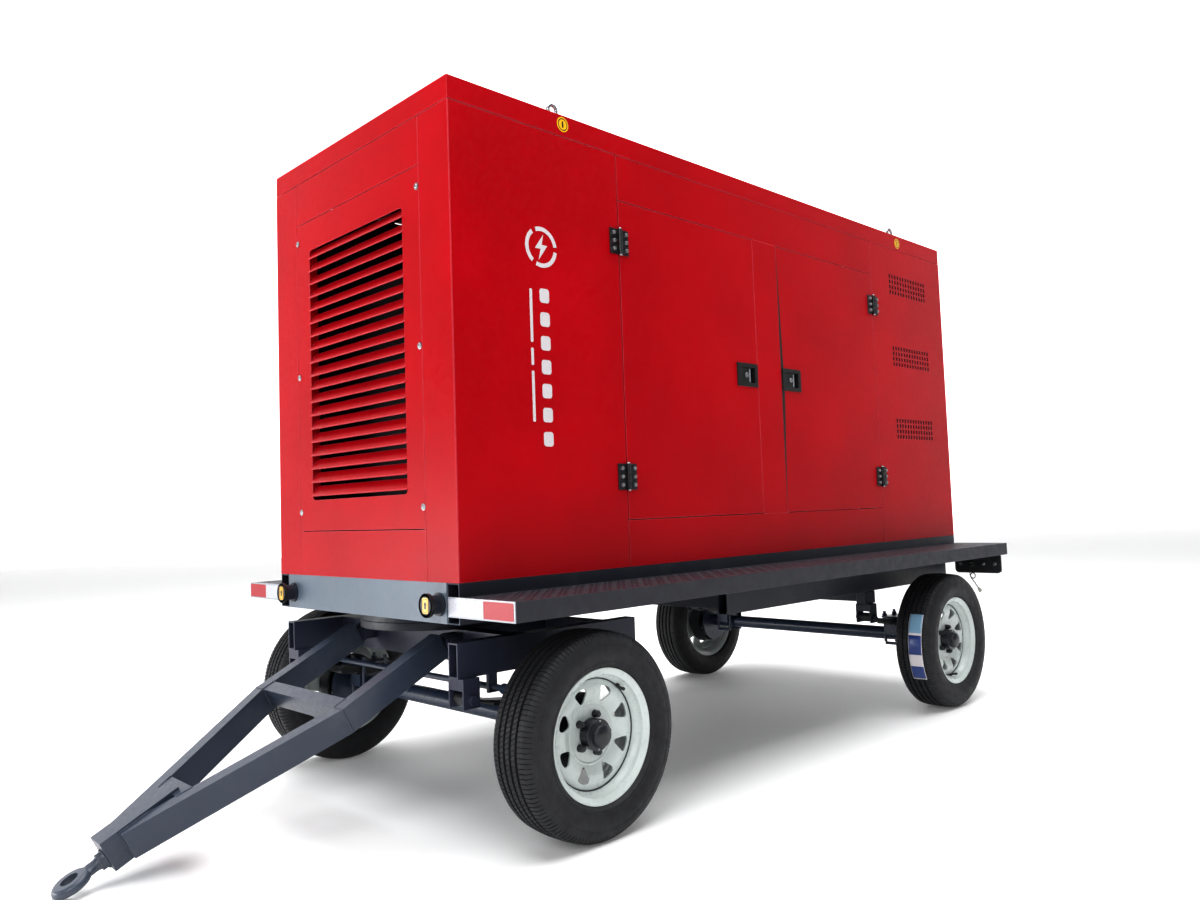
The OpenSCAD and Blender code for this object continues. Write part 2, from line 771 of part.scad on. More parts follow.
module rim(i) {
    color("#d5dcd9") at_wheel(i) difference() {
        rotate_extrude($fn = 96) rim_section();
        for (k = [0 : 7])
            rotate([0, 0, 45 * k + 22.5]) translate([window_r + 6, 0, 0])
                linear_extrude(height = 60)
                    polygon([[-22, 4], [-22, -4], [14, -21], [21, -15], [21, 15], [14, 21]]);
        for (k = [0 : 4])
            rotate([0, 0, 72 * k]) translate([nut_pcd_r, 0, 0]) cylinder(h = 30, r = 7);
    }
}

// Hub with its brake drum, studs, nuts and grease cap
module hub(i) {
    color("#23272e") at_wheel(i) {
        difference() {
            union() {
                translate([0, 0, -90]) cylinder(h = 60, r = 112);
                translate([0, 0, -31]) cylinder(h = 31 + 8 - seat, r = 78);
                cylinder(h = 44, r = 35.5);
                translate([0, 0, 14 + seat]) cylinder(h = 34, r = 44);
                translate([0, 0, 14]) cylinder(h = 52, r = 33);
            }
            translate([0, 0, -100]) cylinder(h = 100 + 26, r = hub_bore_r);
            translate([0, 0, -91]) cylinder(h = 50, r = 103);
        }
        for (k = [0 : 4])
            rotate([0, 0, 72 * k]) translate([nut_pcd_r, 0, 8]) {
                cylinder(h = 26, r = 6);
                translate([0, 0, 6 + seat]) cylinder(h = 15, r = 10.5, $fn = 6);
            }
    }
}

// ---- Canopy ----

module corner_posts() {
    color("#c5001c") from_front() both_sides() for (s = [0, 1])
        translate([s * canopy_l, 0, 0]) mirror([s, 0, 0]) {
            box([0, sheet], [half_w - post_w, half_w], [canopy_z + seat, skirt_z - seam]);
            box([sheet, 46], [half_w - 2 * sheet - seat, half_w - sheet - seat], [canopy_z + seat, skirt_z - seam]);
            box([6, 46], [half_w - 52, half_w - 2 * sheet - seat], [canopy_z + seat, roof_z - sheet - seat]);
            box([0, 2 * sheet + seat], [half_w - post_w, half_w - post_w + 20],
                [canopy_z + 8 + 2 * seat, skirt_z - seam]);
            box([sheet + seat, 2 * sheet + seat], [half_w - post_w - 18, half_w - post_w + 1],
                [canopy_z + 8 + 2 * seat, skirt_z - seam]);
        }
}

exhaust_x = 1520;
exhaust_r = 38;
eye_xs = [455, 2690];
eye_y = 515;
lift_shank_r = 10;

module roof() {
    color("#c5001c") from_front() difference() {
        box([0, canopy_l], [-half_w, half_w], [skirt_z, roof_z]);
        box([sheet, canopy_l - sheet], [-half_w + sheet, half_w - sheet], [skirt_z - 1, roof_z - sheet]);
        translate([exhaust_x, 0, roof_z - 10]) cylinder(h = 20, r = exhaust_r + 6);
        for (x = eye_xs, s = [-1, 1])
            translate([x, s * eye_y, roof_z - 10]) cylinder(h = 20, r = lift_shank_r + seat);
    }
}

ring_tube = 6;
lift_ring_r = 18;

// Chromed lifting eyes on bars under the roof
module lifting_eyes() {
    color("#c8ccd0") from_front() {
        both_sides() for (x = eye_xs) {
            translate([x, eye_y, roof_z + seat]) cylinder(h = 8, r = 20);
            translate([x, eye_y, skirt_z + 8]) cylinder(h = roof_z - skirt_z, r = lift_shank_r);
            difference() {
                translate([x, eye_y, roof_z + 8 + lift_ring_r + ring_tube - 2]) rotate([90, 0, 0])
                    rotate_extrude($fn = 48) translate([lift_ring_r, 0]) circle(r = ring_tube);
                translate([x, eye_y, roof_z - 6]) box([-60, 60], [-60, 60], [-20, 8]);
            }
        }
        for (x = eye_xs)
            tube_y([x - 30, x + 30], [-half_w + sheet + seat, half_w - sheet - seat],
                [skirt_z - 20, skirt_z + 8 - seat], 4);
    }
}

// Frame with down-sloping slats in front of the radiator
module louvre_panel() {
    y1 = half_w - post_w - seam;
    z0 = canopy_z + end_sill + seam;
    z1 = skirt_z - end_head - seam;
    mid_z = (z0 + z1) / 2;
    lo = mid_z - louvre_h / 2;
    count = floor(louvre_h / slat_pitch);
    pitch = louvre_h / count;
    color("#c8102e") from_front() {
        difference() {
            box([0, sheet], [-y1, y1], [z0, z1]);
            translate([-1, 0, mid_z]) rotate([90, 0, 90]) linear_extrude(height = sheet + 2)
                offset(r = 15) square([louvre_w - 30, louvre_h - 30], center = true);
        }
        for (s = [-1, 1])
            box([sheet, 32], [s * (louvre_w / 2 + 6) - 3, s * (louvre_w / 2 + 6) + 3], [lo - 10, lo + louvre_h + 10]);
        for (k = [0 : count - 1])
            translate([sheet + 2, 0, lo + (k + 0.55) * pitch]) rotate([0, slat_slope - 90, 0])
                box([-14, 22], [-louvre_w / 2 - 3.5, louvre_w / 2 + 3.5], [-1, 1]);
    }
}

bolt_y = half_w - post_w - 13;

module panel_bolts() {
    color("#b9bdc2") from_front() for (s = [-1, 1], z = [222, 709, 1201])
        rod_x([-5, -seat], s * bolt_y, canopy_z + z, 7);
}

// Fixed panels of both ends; the rear one has the intake grille and the control door's frame
module end_panels() {
    y1 = half_w - post_w - seam;
    color("#c5001c") from_front() {
        for (s = [0, 1])
            translate([s * canopy_l, 0, 0]) mirror([s, 0, 0]) {
                box([0, sheet], [-y1, y1], [canopy_z + seat, canopy_z + end_sill]);
                box([0, sheet], [-y1, y1], [skirt_z - end_head, skirt_z - seam]);
                box([sheet, 30], [-y1 - 3, y1 + 3], [canopy_z + seat, canopy_z + 8]);
            }
        difference() {
            box([canopy_l - sheet, canopy_l], [-y1, y1], [canopy_z + end_sill + seam, skirt_z - end_head - seam]);
            for (k = [0 : 9])
                box([canopy_l - 10, canopy_l + 1], [-260, 260],
                    [canopy_z + 250 + 40 * k, canopy_z + 262 + 40 * k]);
            rod_x([canopy_l - 10, canopy_l + 1], 250, canopy_z + 900, 8 + seat);
        }
        for (s = [-1, 1])
            box([canopy_l - 24, canopy_l - sheet], [s * (y1 - 30) - 12, s * (y1 - 30) + 12],
                [canopy_z + 8 + seat, skirt_z - seam]);
    }
}

vent_x = canopy_l - 351;
vent_l = 372;
vent_z = [535, 888, 1242];

// Fixed side panels: plain in front, with three vent groups behind
module side_panels() {
    color("#b80016") from_front() both_sides() {
        box([sheet + seat, front_panel - seam / 2], [half_w - sheet, half_w], [canopy_z + seat, skirt_z - seam]);
        box([front_panel - 40, front_panel - seam / 2], [half_w - 34, half_w - sheet],
            [canopy_z + seat, skirt_z - seam]);
        difference() {
            box([door_x4 + seam / 2, canopy_l - sheet - seat], [half_w - sheet, half_w],
                [canopy_z + seat, skirt_z - seam]);
            for (z = vent_z, row = [-1.5 : 1 : 1.5], k = [0 : 13])
                translate([vent_x - vent_l / 2 + 8 + k * 26.6, half_w - 10, canopy_z + z + row * 26 - 9])
                    cube([9, 20, 18]);
        }
        box([door_x4 + seam / 2, door_x4 + 40], [half_w - 34, half_w - sheet], [canopy_z + seat, skirt_z - seam]);
    }
}

// Fixed strips above, below and between the doors, with a rebate for their seals
module door_frames() {
    color("#b80016") from_front() both_sides() {
        box([door_x1 + seam / 2, door_x4 - seam / 2], [half_w - sheet, half_w], [canopy_z + seat, door_z0]);
        box([door_x1 + seam / 2, door_x4 - seam / 2], [half_w - sheet, half_w], [door_z1, skirt_z - seam]);
        box([door_x2, door_x3], [half_w - sheet, half_w], [door_z0 + seat, door_z1 - seat]);
        box([door_x2 + 20, door_x3 - 20], [half_w - 34, half_w - sheet - seat], [canopy_z + seat, skirt_z - seam]);
    }
}

// Hinge places: seam, and the way towards the door
hinge_sets = [[door_x1, 1], [door_x4, -1]];

module hinge_zs() {
    for (z = [hinge_low, hinge_high]) translate([0, 0, canopy_z + z]) children();
}

leaf_plate = 4;

// Fixed leaf, outer knuckles and pin of every hinge, with its bolts
module hinge_leaves() {
    color("#16171a") from_front() both_sides() for (h = hinge_sets)
        translate([h[0], 0, 0]) scale_x(h[1]) hinge_zs() {
            difference() {
                union() {
                    box([-hinge_leaf, -barrel_r - 1], [half_w + seat, half_w + seat + leaf_plate],
                        [-hinge_h / 2, hinge_h / 2]);
                    for (s = [-1, 1]) {
                        knuckle(s * hinge_h / 3, hinge_h / 3);
                        box([-barrel_r - 2, 0], [half_w + seat, half_w + seat + leaf_plate],
                            [s * hinge_h / 3 - hinge_h / 6, s * hinge_h / 3 + hinge_h / 6]);
                    }
                }
                pin_hole();
            }
            translate([0, barrel_y, -hinge_h / 2 - 3]) cylinder(h = hinge_h + 6, r = 3.5);
            hinge_bolts(-1);
        }
}

module scale_x(s) {
    mirror([s < 0 ? 1 : 0, 0, 0]) children();
}

module knuckle(z, h) {
    translate([0, barrel_y, z - h / 2]) cylinder(h = h, r = barrel_r);
}

module pin_hole() {
    translate([0, barrel_y, -hinge_h]) cylinder(h = 2 * hinge_h, r = 3.5 + run);
}

module hinge_bolts(s) {
    for (z = [-28, 0, 28])
        rod_y(s * (hinge_leaf - 14), [half_w + leaf_plate + 2 * seat, half_w + leaf_plate + 7], z, 7);
}

// A door in its opening, as on the left side, hinged at place h and closing at place c
module door_body(h, c, way) {
    x0 = min(h, c) + seam;
    x1 = max(h, c) - seam;
    z0 = door_z0 + seam;
    z1 = door_z1 - seam;
    cut_x = latch_mid(c, way);
    difference() {
        box([x0, x1], [half_w - door_depth, half_w], [z0, z1]);
        box([x0 + 2, x1 - 2], [half_w - door_depth - 1, half_w - sheet], [z0 + 2, z1 - 2]);
        box([cut_x - tray_w / 2 - 1, cut_x + tray_w / 2 + 1], [half_w - 10, half_w + 1],
            [canopy_z + latch_z - tray_h / 2 - 1, canopy_z + latch_z + tray_h / 2 + 1]);
    }
    difference() {
        box([x0 + 2 + seat, x1 - 2 - seat], [half_w - door_depth, half_w - sheet - seat], [z0 + 2 + seat, z1 - 2 - seat]);
        box([cut_x - tray_w / 2 - 6, cut_x + tray_w / 2 + 6], [half_w - 50, half_w + 1],
            [canopy_z + latch_z - tray_h / 2 - 6, canopy_z + latch_z + tray_h / 2 + 6]);
    }
    latch_tray(cut_x);
    translate([h, 0, 0]) scale_x(way) hinge_zs() {
        difference() {
            union() {
                box([barrel_r + 1, hinge_leaf], [half_w + seat, half_w + seat + leaf_plate],
                    [-hinge_h / 2, hinge_h / 2]);
                knuckle(0, hinge_h / 3 - 1);
                box([0, barrel_r + 2], [half_w + seat, half_w + seat + leaf_plate], [-hinge_h / 6 + 0.5, hinge_h / 6 - 0.5]);
            }
            pin_hole();
        }
        hinge_bolts(1);
    }
}

function latch_mid(c, way) = c - way * (seam + latch_edge / 2 + latch_w / 2);

latch_plate = 3;

// Black plate and tray let into the door, in which the paddle swings
module latch_tray(x) {
    z = canopy_z + latch_z;
    difference() {
        union() {
            box([x - latch_w / 2, x + latch_w / 2], [half_w + seat, half_w + seat + latch_plate],
                [z - latch_h / 2, z + latch_h / 2]);
            box([x - tray_w / 2, x + tray_w / 2], [half_w - tray_d, half_w + 1], [z - tray_h / 2, z + tray_h / 2]);
        }
        box([x - tray_w / 2 + 3, x + tray_w / 2 - 3], [half_w - tray_d + 3, half_w + 10],
            [z - tray_h / 2 + 3, z + tray_h / 2 - 3]);
    }
    rod_z(x - tray_w / 2 + 8, half_w - 3, [z - tray_h / 2 + 3, z + tray_h / 2 - 3], 2);
}

module rod_z(x, y, z, r) {
    translate([x, y, z[0]]) cylinder(h = z[1] - z[0], r = r);
}

// The paddle on its upright pin; the finger gap is at the rear
module latch_paddle(x) {
    z = canopy_z + latch_z;
    px = x - tray_w / 2 + 8;
    difference() {
        union() {
            rod_z(px, half_w - 3, [z - tray_h / 2 + 4, z + tray_h / 2 - 4], 4);
            box([px, px + 64], [half_w - 5, half_w - 1], [z - tray_h / 2 + 4, z + tray_h / 2 - 4]);
            rod_y(px + 38, [half_w - 1 - seat, half_w + 2], z, 8);
        }
        rod_z(px, half_w - 3, [z - tray_h, z + tray_h], 2 + run);
    }
}

module door(side, h, c, way) {
    color("#b80016") from_front() mirror([0, side, 0]) door_body(h, c, way);
}

module latch(side, c, way) {
    color("#131417") from_front() mirror([0, side, 0]) latch_paddle(latch_mid(c, way));
}

// ---- Generating set ----

module engine_block() {
    color("#2f5a3a") from_front() {
        difference() {
            union() {
                box([block_x0, block_x1], [-200, 200], [crank_z - 130, crank_z + 260]);
                rod_x([block_x1 - 1, bell_x1], 0, crank_z, 262);
                for (s = [-1, 1])
                    box([mount_xs[0] - 50, mount_xs[0] + 50], [s * (mount_y - 95) - 145, s * (mount_y - 95) + 145],
                        [mount_z + mount_h + seat, mount_z + mount_h + 20]);
                box([block_x0 - 18, block_x0 + 1], [-60, 60], [fan_z - 80, fan_z + 40]);
                rod_x([block_x0 - 210, block_x0 - 17], 0, fan_z, spindle_fan_r - run);
            }
            rod_x([block_x0 - 40, bell_x1 + 1], 0, crank_z, shaft_r + 2);
            rod_x([block_x1 + 10, bell_x1 + 1], 0, crank_z, bore_r);
            box([block_x0 + 20, block_x1 - 20], [-180, 180], [crank_z - 131, crank_z + 60]);
            for (k = [0 : 3])
                translate([block_x0 + 130 + 200 * k, 0, crank_z]) cylinder(h = 300, r = 55);
        }
        difference() {
            box([block_x0 + 10, block_x1 - 10], [-150, 150], [crank_z - 300, crank_z - 130 - seat]);
            box([block_x0 + 20, block_x1 - 20], [-140, 140], [crank_z - 290, crank_z]);
        }
    }
}

module cylinder_head() {
    color("#35633f") from_front() {
        box([block_x0 + 10, block_x1 - 10], [-160, 160], [crank_z + 260 + seat, crank_z + 350]);
        difference() {
            box([block_x0 + 30, block_x1 - 30], [-120, 120], [crank_z + 350 + seat, crank_z + 430]);
            box([block_x0 + 36, block_x1 - 36], [-114, 114], [crank_z + 340, crank_z + 424]);
        }
        box([block_x0 + 60, block_x1 - 60], [160 + seat, 220], [crank_z + 280, crank_z + 340]);
    }
}

module engine_mounts() {
    color("#1d1d1f") from_front() both_sides() for (x = mount_xs)
        translate([x, mount_y, mount_z + seat]) cylinder(h = mount_h - seat, r = 42);
}

module alternator() {
    color("#3f6b4a") from_front() difference() {
        union() {
            rod_x([alt_x0, alt_x1], 0, crank_z, alt_r);
            for (s = [-1, 1])
                box([mount_xs[1] - 50, mount_xs[1] + 50], [s * (mount_y - 90) - 120, s * (mount_y - 90) + 120],
                    [mount_z + mount_h + seat, mount_z + mount_h + 20]);
            box([alt_x0 + 120, alt_x1 - 120], [-190, 190], [crank_z + alt_r - 60, crank_z + alt_r + 130]);
        }
        rod_x([alt_x0 - 1, alt_x1 - 20], 0, crank_z, bore_r);
        rod_x([alt_x1 - 30, alt_x1 + 1], 0, crank_z, shaft_r + run);
        box([alt_x0 + 126, alt_x1 - 126], [-184, 184], [crank_z + alt_r + 10, crank_z + alt_r + 124]);
    }
}

// Everything on the crankshaft's line: pulley, shaft, flywheel and rotor
module rotor_shaft() {
    color("#8d9298") from_front() {
        rod_x([pulley_x - 30, alt_x1 - 4], 0, crank_z, shaft_r);
        rod_x([pulley_x, pulley_x + pulley_w], 0, crank_z, crank_pulley_r);
        rod_x([block_x1 + 30, block_x1 + 70], 0, crank_z, bore_r - 14);
        rod_x([alt_x0 + 60, alt_x1 - 80], 0, crank_z, bore_r - rotor_gap - 30);
    }
}

module cooling_fan() {
    x = pulley_x;
    color("#d8b019") from_front() difference() {
        union() {
            rod_x([x, x + pulley_w], 0, fan_z, fan_pulley_r);
            rod_x([x - 110, x + 1], 0, fan_z, 36);
            for (k = [0 : 6])
                translate([x - 76, 0, fan_z]) rotate([360 / 7 * k, 0, 0]) rotate([0, 0, 35])
                    box([-3, 3], [-38, 38], [30, fan_r]);
        }
        rod_x([x - 120, x + 60], 0, fan_z, spindle_fan_r);
    }
}

module drive_belt() {
    inner = seat + 0.1;
    color("#18181a") from_front() translate([pulley_x + 3, 0, 0]) rotate([90, 0, 90])
        linear_extrude(height = pulley_w - 6) difference() {
            hull() {
                translate([0, crank_z]) circle(r = crank_pulley_r + inner + belt_t, $fn = 64);
                translate([0, fan_z]) circle(r = fan_pulley_r + inner + belt_t, $fn = 64);
            }
            hull() {
                translate([0, crank_z]) circle(r = crank_pulley_r + inner, $fn = 64);
                translate([0, fan_z]) circle(r = fan_pulley_r + inner, $fn = 64);
            }
        }
}

radiator_x = 170;

module radiator() {
    lo = canopy_z + 110;
    hi = fan_z + fan_r + 90;
    color("#26292e") from_front() {
        box([radiator_x, radiator_x + 70], [-390, 390], [lo, hi]);
        for (s = [-1, 1])
            box([radiator_x - 20, radiator_x + 90], [s * 360 - 25, s * 360 + 25], [canopy_z + 6 + seat, lo - seat]);
        box([base_rail + 60, cross_xs[0] + 50], [-440, 440], [canopy_z + seat, canopy_z + 6]);
        difference() {
            rod_x([radiator_x + 70 + seat, radiator_x + 300], 0, fan_z, fan_r + 28);
            rod_x([radiator_x + 60, radiator_x + 310], 0, fan_z, fan_r + 22);
        }
    }
}

tank_x = [1660, 2930];
filler = [2720, -300];
filler_r = 40;

module fuel_tank() {
    color("#22262c") from_front() {
        difference() {
            union() {
                box(tank_x, [-420, 420], [frame_z + seat, canopy_z - base_rail - 6]);
                translate([filler[0], filler[1], frame_z + 20]) cylinder(h = 240, r = filler_r);
            }
            box([tank_x[0] + 4, tank_x[1] - 4], [-416, 416], [frame_z + 4, canopy_z - base_rail - 10]);
            translate([filler[0], filler[1], frame_z + 6]) cylinder(h = 300, r = filler_r - 5);
        }
        translate([filler[0], filler[1], frame_z + 260 + seat]) cylinder(h = 24, r = 46);
    }
}

silencer_z = skirt_z - 150;

module silencer() {
    color("#8b8f94") from_front() {
        rod_x([900, 1620], 0, silencer_z, 105);
        difference() {
            translate([exhaust_x, 0, silencer_z]) cylinder(h = roof_z + 40 - silencer_z, r = exhaust_r);
            translate([exhaust_x, 0, silencer_z + 110]) cylinder(h = 400, r = exhaust_r - 4);
        }
        translate([exhaust_x + exhaust_r + 2, 0, roof_z + 44]) rotate([0, -12, 0])
            box([-90, 4], [-42, 42], [0, 3]);
        for (x = [980, 1380])
            box([x, x + 40], [-half_w + sheet + seat, half_w - sheet - seat], [skirt_z + 2, skirt_z + 8]);
        for (x = [980, 1380])
            box([x, x + 40], [-20, 20], [silencer_z + 100, skirt_z + 2 - seat]);
        rod_z(950, 190, [crank_z + 340 + seat, silencer_z], 30);
        rod_y(950, [0, 190], silencer_z, 30);
    }
}

module air_filter() {
    x = [block_x1 + 120, block_x1 + 420];
    z = crank_z + alt_r + 230;
    color("#2b2d31") from_front() {
        rod_x(x, 0, z, 90);
        for (p = [x[0] + 50, x[1] - 70])
            box([p, p + 20], [-60, 60], [crank_z + alt_r + 130 + seat, z - 60]);
    }
}

box_x = [2700, 2950];

// Control cabinet behind the rear end panel, on its stand
module control_box() {
    z0 = canopy_z + 560;
    color("#d9dbd8") from_front() {
        difference() {
            box(box_x, [-300, 300], [z0, z0 + 620]);
            box([box_x[0] + 3, box_x[1] - 3], [-297, 297], [z0 + 3, z0 + 617]);
            rod_x([box_x[1] - 10, box_x[1] + 1], -180, z0 + 480, 12);
        }
        for (s = [-1, 1])
            box([box_x[0] + 60, box_x[0] + 100], [s * 240 - 20, s * 240 + 20], [canopy_z + 6 + seat, z0 - seat]);
        difference() {
            box([box_x[0] - 300, cross_xs[3] + 50], [-490, 490], [canopy_z + seat, canopy_z + 6]);
            translate([filler[0], filler[1], canopy_z - 1]) cylinder(h = 10, r = filler_r + 4);
        }
    }
}

module battery() {
    color("#222326") from_front() {
        box([box_x[0] - 280, box_x[0] - 20], [200, 380], [canopy_z + 6 + seat, canopy_z + 206]);
        for (x = [60, 220])
            translate([box_x[0] - 280 + x, 240, canopy_z + 206 + seat]) cylinder(h = 18, r = 8);
    }
}

button_z = canopy_z + 900;

module stop_button() {
    color("#d01818") from_front() {
        rod_x([canopy_l - 14, canopy_l + 8], 250, button_z, 8);
        rod_x([canopy_l + 8, canopy_l + 20], 250, button_z, 19);
    }
}

base_frame();
chassis_rails();
walkways();
marker_plates();
bollards();
tail_lamps();
lamp_lead();
lead_connector();
rear_axle();
rear_springs();
turntable_upper();
corner_posts();
roof();
louvre_panel();
end_panels();
side_panels();
door_frames();
hinge_leaves();
lifting_eyes();
panel_bolts();
engine_block();
cylinder_head();
engine_mounts();
alternator();
rotor_shaft();
cooling_fan();
drive_belt();
radiator();
fuel_tank();
silencer();
air_filter();
control_box();
battery();
stop_button();
door(1, door_x1, door_x2, 1);  // door_1
door(1, door_x4, door_x3, -1);  // door_2
door(0, door_x1, door_x2, 1);  // door_3
door(0, door_x4, door_x3, -1);  // door_4
latch(1, door_x2, 1);  // latch_1
latch(1, door_x3, -1);  // latch_2
latch(0, door_x2, 1);  // latch_3
latch(0, door_x3, -1);  // latch_4
bogie_frame();
turntable_lower();
front_axle();
front_springs();
drawbar_frame();
tow_eye();
tyre(0);  // tyre_1
tyre(1);  // tyre_2
tyre(2);  // tyre_3
tyre(3);  // tyre_4
rim(0);  // rim_1
rim(1);  // rim_2
rim(2);  // rim_3
rim(3);  // rim_4
hub(0);  // hub_1
hub(1);  // hub_2
hub(2);  // hub_3
hub(3);  // hub_4
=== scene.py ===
import random
from math import cos, hypot, radians, sin, tau as TAU

import bmesh
import bpy
from mathutils import Matrix, Vector


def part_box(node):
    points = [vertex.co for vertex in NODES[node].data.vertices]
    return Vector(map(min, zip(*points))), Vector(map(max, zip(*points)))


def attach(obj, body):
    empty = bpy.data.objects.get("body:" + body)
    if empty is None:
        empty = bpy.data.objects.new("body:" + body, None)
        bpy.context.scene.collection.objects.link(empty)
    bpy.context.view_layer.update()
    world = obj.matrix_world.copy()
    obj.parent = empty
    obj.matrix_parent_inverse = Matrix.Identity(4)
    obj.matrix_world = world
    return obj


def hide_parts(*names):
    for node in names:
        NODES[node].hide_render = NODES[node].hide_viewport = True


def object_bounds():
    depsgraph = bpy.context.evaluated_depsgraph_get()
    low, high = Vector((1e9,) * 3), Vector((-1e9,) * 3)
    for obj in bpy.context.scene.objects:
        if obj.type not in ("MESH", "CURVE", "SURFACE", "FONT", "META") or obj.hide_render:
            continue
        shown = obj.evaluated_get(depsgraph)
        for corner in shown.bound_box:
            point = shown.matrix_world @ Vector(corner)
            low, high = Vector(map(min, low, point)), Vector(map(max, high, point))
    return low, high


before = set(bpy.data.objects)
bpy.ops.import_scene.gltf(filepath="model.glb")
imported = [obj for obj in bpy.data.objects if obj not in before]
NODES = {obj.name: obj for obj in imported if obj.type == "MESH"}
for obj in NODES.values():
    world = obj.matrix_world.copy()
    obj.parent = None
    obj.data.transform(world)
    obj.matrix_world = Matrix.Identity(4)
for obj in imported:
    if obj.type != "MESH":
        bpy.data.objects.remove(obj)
CAD_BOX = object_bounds()
random.seed(7)

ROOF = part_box("roof")
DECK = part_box("walkways")
X0 = ROOF[0].x  # the canopy's front face
HALF_W = ROOF[1].y  # half the canopy's width
CANOPY_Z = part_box("corner_posts")[0].z  # the canopy's bottom
SKIRT_Z = ROOF[0].z
ROOF_Z = ROOF[1].z
CANOPY_L = ROOF[1].x - ROOF[0].x


def at(x, y, z):
    """A point whose X is counted from the canopy's front face."""
    return Vector((X0 + x, y, z))


# ---- mesh helpers

def new_object(name, data):
    o = bpy.data.objects.new(name, data)
    bpy.context.scene.collection.objects.link(o)
    return o


def make_object(name, bm, smooth=True):
    mesh = bpy.data.meshes.new(name)
    bm.normal_update()
    bm.to_mesh(mesh)
    bm.free()
    for p in mesh.polygons:
        p.use_smooth = smooth
    return new_object(name, mesh)


def finish_piece(o, material, slot, body="chassis", hides=(), bevel=0.0, angle=35):
    """Gives a new piece its material, rounded edges, body and the nodes it replaces. The slot is not used."""
    o.data.materials.clear()
    for m in material if isinstance(material, tuple) else (material,):
        o.data.materials.append(m)
    if bevel:
        round_edges(o, bevel, angle)
    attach(o, body)
    if hides:
        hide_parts(*hides)
    return o


def piece(name, bm, material, slot, body="chassis", sharp=0, **more):
    """A finished piece made from bm: flat-shaded, or smooth with edges past sharp degrees left crisp."""
    o = make_object(name, bm, bool(sharp))
    if sharp:
        o.data.set_sharp_from_angle(angle=radians(sharp))
    return finish_piece(o, material, slot, body, **more)


def round_edges(o, width, angle=35):
    b = o.modifiers.new("round", "BEVEL")
    b.width = width
    b.segments = 2
    b.limit_method = "ANGLE"
    b.angle_limit = radians(angle)
    b.use_clamp_overlap = True
    b.miter_outer = "MITER_ARC"
    n = o.modifiers.new("normals", "WEIGHTED_NORMAL")
    n.keep_sharp = True
    n.weight = 60


def cut_away(body, tool):
    """The body's mesh once the tool is cut out of it. The tool is used up."""
    cut = body.modifiers.new("cut", "BOOLEAN")
    cut.object = tool
    cut.solver = "EXACT"
    bpy.context.view_layer.update()
    mesh = bpy.data.meshes.new_from_object(body.evaluated_get(bpy.context.evaluated_depsgraph_get()))
    body.modifiers.clear()
    bpy.data.objects.remove(tool)
    return mesh


def circle(r, count):
    """The (u, v) points of a circle."""
    return [(r * cos(TAU * k / count), r * sin(TAU * k / count)) for k in range(count)]


def ring_at(bm, outline, z, matrix):
    return [bm.verts.new(matrix @ Vector((u, v, z))) for u, v in outline]


def skin(bm, rings, closed=False, caps=False):
    """Faces between neighbouring rings, of which one may be a single point."""
    made = []
    for a, b in zip(rings, rings[1:] + (rings[:1] if closed else [])):
        n = max(len(a), len(b))
        for k in range(n if n > 1 else 0):
            m = (k + 1) % n
            corners = (a[k % len(a)], a[m % len(a)], b[m % len(b)], b[k % len(b)])
            made.append(bm.faces.new(list(dict.fromkeys(corners))))
    if caps:
        made += [bm.faces.new(rings[0]), bm.faces.new(rings[-1])]
    bmesh.ops.recalc_face_normals(bm, faces=made)
    return made


def add_lathe(bm, profile, steps, matrix, closed=True):
    """Turns (radius, height) points about +Z of matrix. A radius of zero makes one point."""
    skin(bm, [ring_at(bm, circle(r, steps) if r else [(0, 0)], h, matrix) for r, h in profile], closed)


def across(points):
    """Each point of a line with two directions square to the line, which turn as little as they can."""
    side, out = None, []
    for i, p in enumerate(points):
        t = (points[min(i + 1, len(points) - 1)] - points[max(i - 1, 0)]).normalized()
        if side is None:
            side = t.orthogonal().normalized()
        side = (side - t * side.dot(t)).normalized()
        out.append((p, side, t.cross(side)))
    return out


def add_tube(bm, points, radii, sides):
    """A round tube along points, closed at its ends, with one radius or a list of them."""
    if not isinstance(radii, list):
        radii = [radii] * len(points)
    rings = []
    for (p, side, other), r in zip(across([Vector(p) for p in points]), radii):
        rings.append([bm.verts.new(p + u * side + v * other) for u, v in circle(r, sides)])
    skin(bm, rings, caps=True)


def add_prism(bm, outline, lo, hi, matrix):
    """Extrudes an outline of (u, v) points from height lo to hi along +Z of matrix."""
    skin(bm, [ring_at(bm, outline, lo, matrix), ring_at(bm, outline, hi, matrix)], caps=True)


def add_box(bm, lo, hi, matrix=Matrix()):
    add_prism(bm, [(lo[0], lo[1]), (hi[0], lo[1]), (hi[0], hi[1]), (lo[0], hi[1])], lo[2], hi[2], matrix)


def frame_ring(bm, outer, inner, lo, hi, matrix):
    """A flat ring between two outlines with the same number of points."""
    edges = ((outer, lo), (outer, hi), (inner, hi), (inner, lo))
    skin(bm, [ring_at(bm, outline, z, matrix) for outline, z in edges], closed=True)


def prisms(name, outlines, lo, hi, matrix, material, slot="marker_film", **more):
    """A piece of flat-sided prisms over one or more outlines."""
    bm = bmesh.new()
    for outline in outlines:
        add_prism(bm, outline, lo, hi, matrix)
    return piece(name, bm, material, slot, **more)


def facing(origin, normal, up=(0, 0, 1)):
    """A matrix whose +Z looks along normal and whose +Y is as near up as it can be."""
    z = Vector(normal).normalized()
    y = Vector(up)
    y = (y - z * y.dot(z)).normalized()
    return Matrix.Translation(Vector(origin)) @ Matrix((y.cross(z), y, z)).transposed().to_4x4()


def shift(x, y, z):
    return Matrix.Translation((x, y, z))


